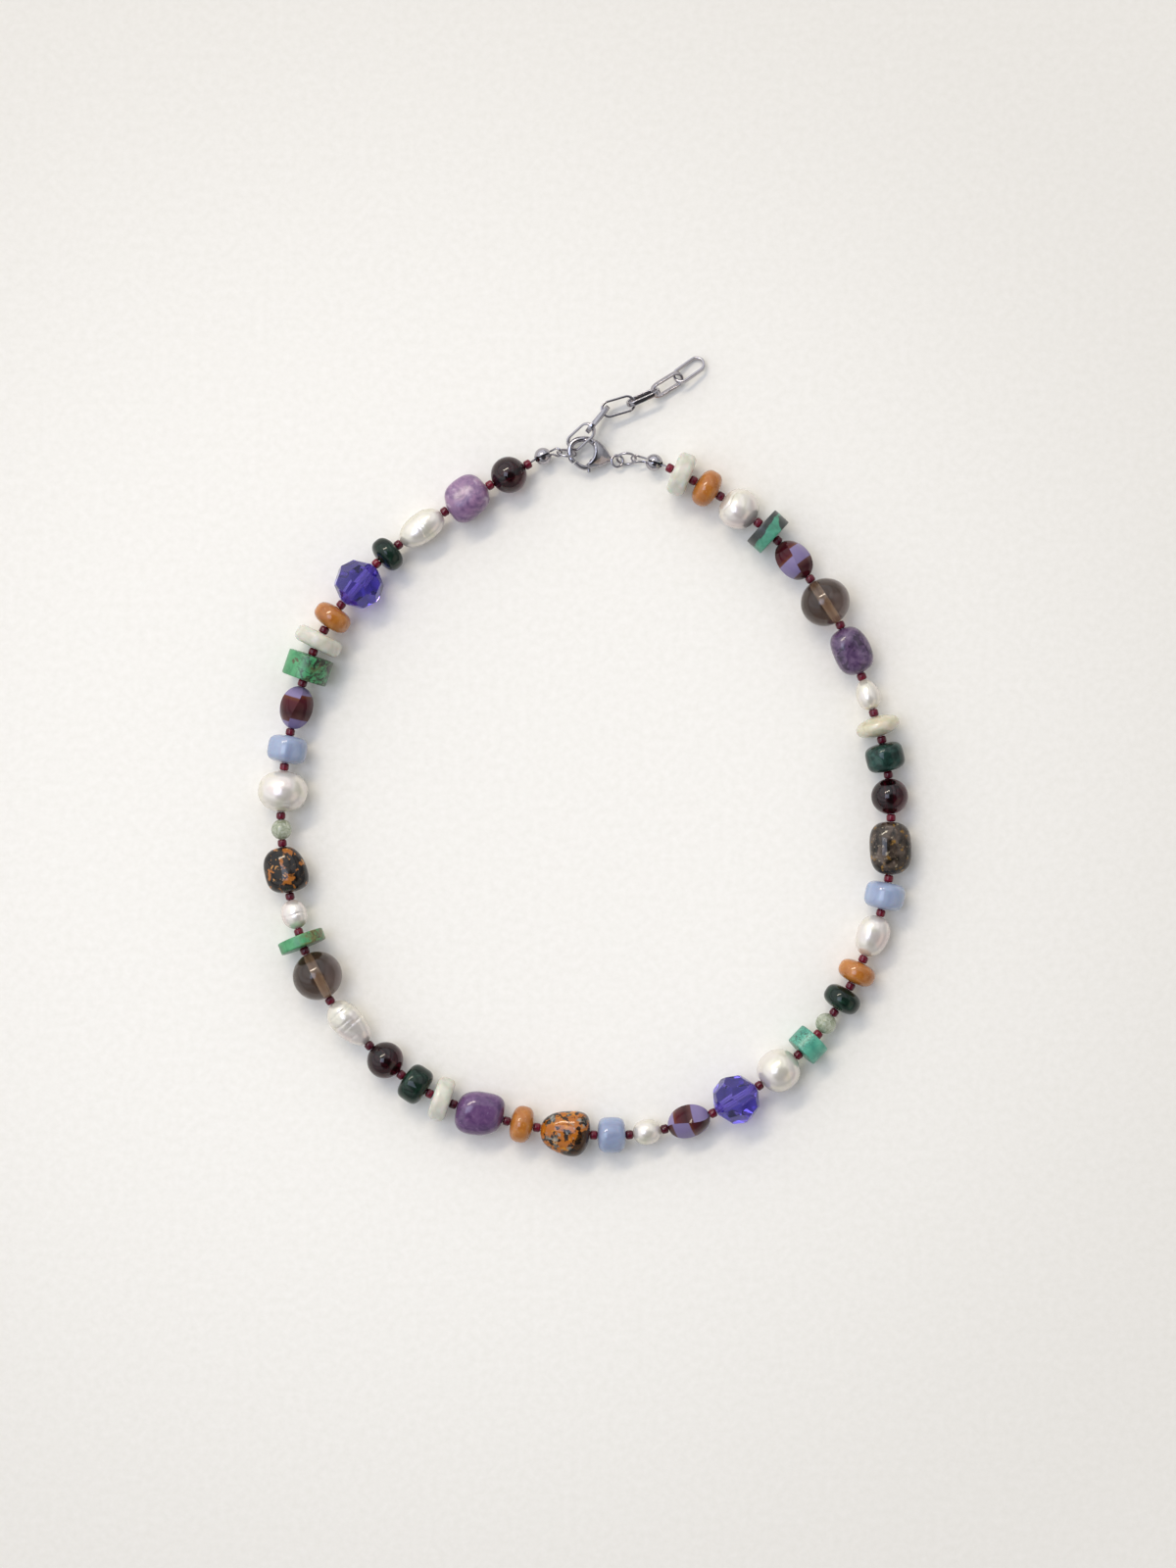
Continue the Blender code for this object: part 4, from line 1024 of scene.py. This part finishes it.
lever = {"pivot": (-4.8, -1.1, 0), "pin": 0.3, "play": 0.1, "boss": 0.95, "half": 0.38,
         "wire": (0.56, 0.48), "reach": 3.35, "arm": [(0.0, 0.0), (0.42, -0.36), (0.76, -0.33),
                                              (1.12, -0.14)],
         "nub": [(0.26, -0.24), (0.20, -0.62)], "nubWire": (0.45, 0.34), "slotPlay": 0.14,
         "slotLength": 3.1, "pinBite": 0.5, "voxel": 0.05, "softenings": 3}
claspTurn = Euler((0, math.radians(clasp["pitch"]), math.radians(clasp["heading"]))).to_matrix()
claspPlace = Vector(clasp["place"]) + shift


# joins or cuts solids, then melts the joints together as casting and tumbling do
def castShape(start, others, voxel, softenings):
    body = addObject("body", meshFrom("body", start))
    tools = [addObject("tool", meshFrom("tool", other)) for other, operation in others]
    for tool, (other, operation) in zip(tools, others):
        modifier = body.modifiers.new("join", "BOOLEAN")
        modifier.operation, modifier.object, modifier.solver = operation, tool, "EXACT"
    remesh = body.modifiers.new("melt", "REMESH")
    remesh.mode, remesh.voxel_size = "VOXEL", voxel
    soften = body.modifiers.new("soften", "SMOOTH")
    soften.factor, soften.iterations = 0.5, softenings
    mesh = evaluatedMesh(body)
    for tool in tools:
        bpy.data.objects.remove(tool)
    cast = bmesh.new()
    cast.from_mesh(mesh)
    bpy.data.meshes.remove(mesh)
    return cast


# tapered wire along a line that a table gives as shares along the clasp and across it
def castWire(line, reach, half, sizes, sides, origin=Vector()):
    shape = bmesh.new()
    path = smoothCurve([origin + Vector((-along * reach, across * half, 0))
                        for along, across in line], 6)
    radii = [sizes[0] + (sizes[1] - sizes[0]) * index / (len(path) - 1)
             for index in range(len(path))]
    tubeAlong(shape, [path], radii, sides)
    return shape


def cylinderShape(radius, depth, middle, segments=32):
    bm = bmesh.new()
    bmesh.ops.create_cone(bm, cap_ends=True, segments=segments, radius1=radius, radius2=radius,
                          depth=depth, matrix=Matrix.Translation(middle))
    return bm


pivot = Vector(lever["pivot"])
bodyShape = bmesh.new()
outline = [Vector((0, -clasp["profile"][0][0] * clasp["length"], 0))]
outline += smoothCurve([Vector((width * clasp["halfWidth"], -along * clasp["length"], 0))
                        for along, width in clasp["profile"]], 4)
brim = outline[-1].x
outline += [Vector((brim * (1 - step / clasp["capRings"]), -clasp["length"], 0))
            for step in range(1, clasp["capRings"] + 1)]
points = [bodyShape.verts.new((point.x, 0, point.y)) for point in outline]
for start, end in zip(points, points[1:]):
    bodyShape.edges.new((start, end))
spinClosed(bodyShape, clasp["steps"])
for vertex in bodyShape.verts:
    # the front is hollowed to the round opening, and the sides are fuller than a plain oval
    wall = math.sqrt(max(clasp["mouth"][1] ** 2 - vertex.co.x ** 2, 0)) - clasp["mouth"][0]
    vertex.co.z += max(wall + clasp["length"], 0) * max(-vertex.co.z / clasp["length"], 0) ** 3
    size, power = vertex.co.xy.length, clasp["square"]
    if size > 0.01:
        across, up = abs(vertex.co.x) / size, abs(vertex.co.y) / size
        vertex.co.xy *= (across ** power + up ** power) ** (-1 / power)
bmesh.ops.transform(bodyShape, verts=bodyShape.verts, matrix=Matrix.Rotation(
    math.radians(-clasp["tilt"]), 4, "Z") @ Matrix.Rotation(math.radians(90), 4, "Y")
    @ Matrix.Rotation(math.radians(90), 4, "Z")
    @ Matrix.Diagonal((1, clasp["halfThickness"] / clasp["halfWidth"], 1, 1)))
hookShape = castWire(clasp["hook"], clasp["hookReach"], clasp["halfWidth"], clasp["hookWire"], 20)
tailShape = bmesh.new()
circle = [Vector((math.cos(2 * math.pi * step / 40), math.sin(2 * math.pi * step / 40), 0))
          * clasp["tailRadius"] for step in range(40)]
tubeAlong(tailShape, [circle], clasp["tailWire"], 16, cyclic=True)
slotShape = bmesh.new()
slotSide = lever["boss"] + lever["slotPlay"]
slotSize = (lever["slotLength"], clasp["length"], 2 * (lever["half"] + lever["slotPlay"]))
bmesh.ops.create_cube(slotShape, size=1, matrix=Matrix.Translation(
    pivot + Vector((slotSide - slotSize[0] / 2, slotSide - slotSize[1] / 2, 0)))
    @ Matrix.Diagonal((*slotSize, 1)))
pinShape = cylinderShape(lever["pin"], 2 * (lever["half"] + lever["pinBite"]), pivot)
bm = castShape(bodyShape, [(hookShape, "UNION"), (tailShape, "UNION"), (slotShape, "DIFFERENCE"),
                           (pinShape, "UNION")], clasp["voxel"], clasp["softenings"])
putAt(bm, claspPlace, claspTurn)
addPiece("clasp_hook_and_body", bm, [steel], ["clasp_body"], sharp=180)

armShape, nubShape = [castWire(lever[line], lever["reach"], lever["reach"], lever[sizes], 16, pivot)
                      for line, sizes in (("arm", "wire"), ("nub", "nubWire"))]
bm = castShape(cylinderShape(lever["boss"], 2 * lever["half"], pivot),
               [(armShape, "UNION"), (nubShape, "UNION"),
                (cylinderShape(lever["pin"] + lever["play"], 4 * lever["half"], pivot),
                 "DIFFERENCE")], lever["voxel"], lever["softenings"])
putAt(bm, claspPlace, claspTurn)
addPiece("clasp_thumb_lever", bm, [steel], ["clasp_lever"], body="lever", sharp=180)
print("clasp made")
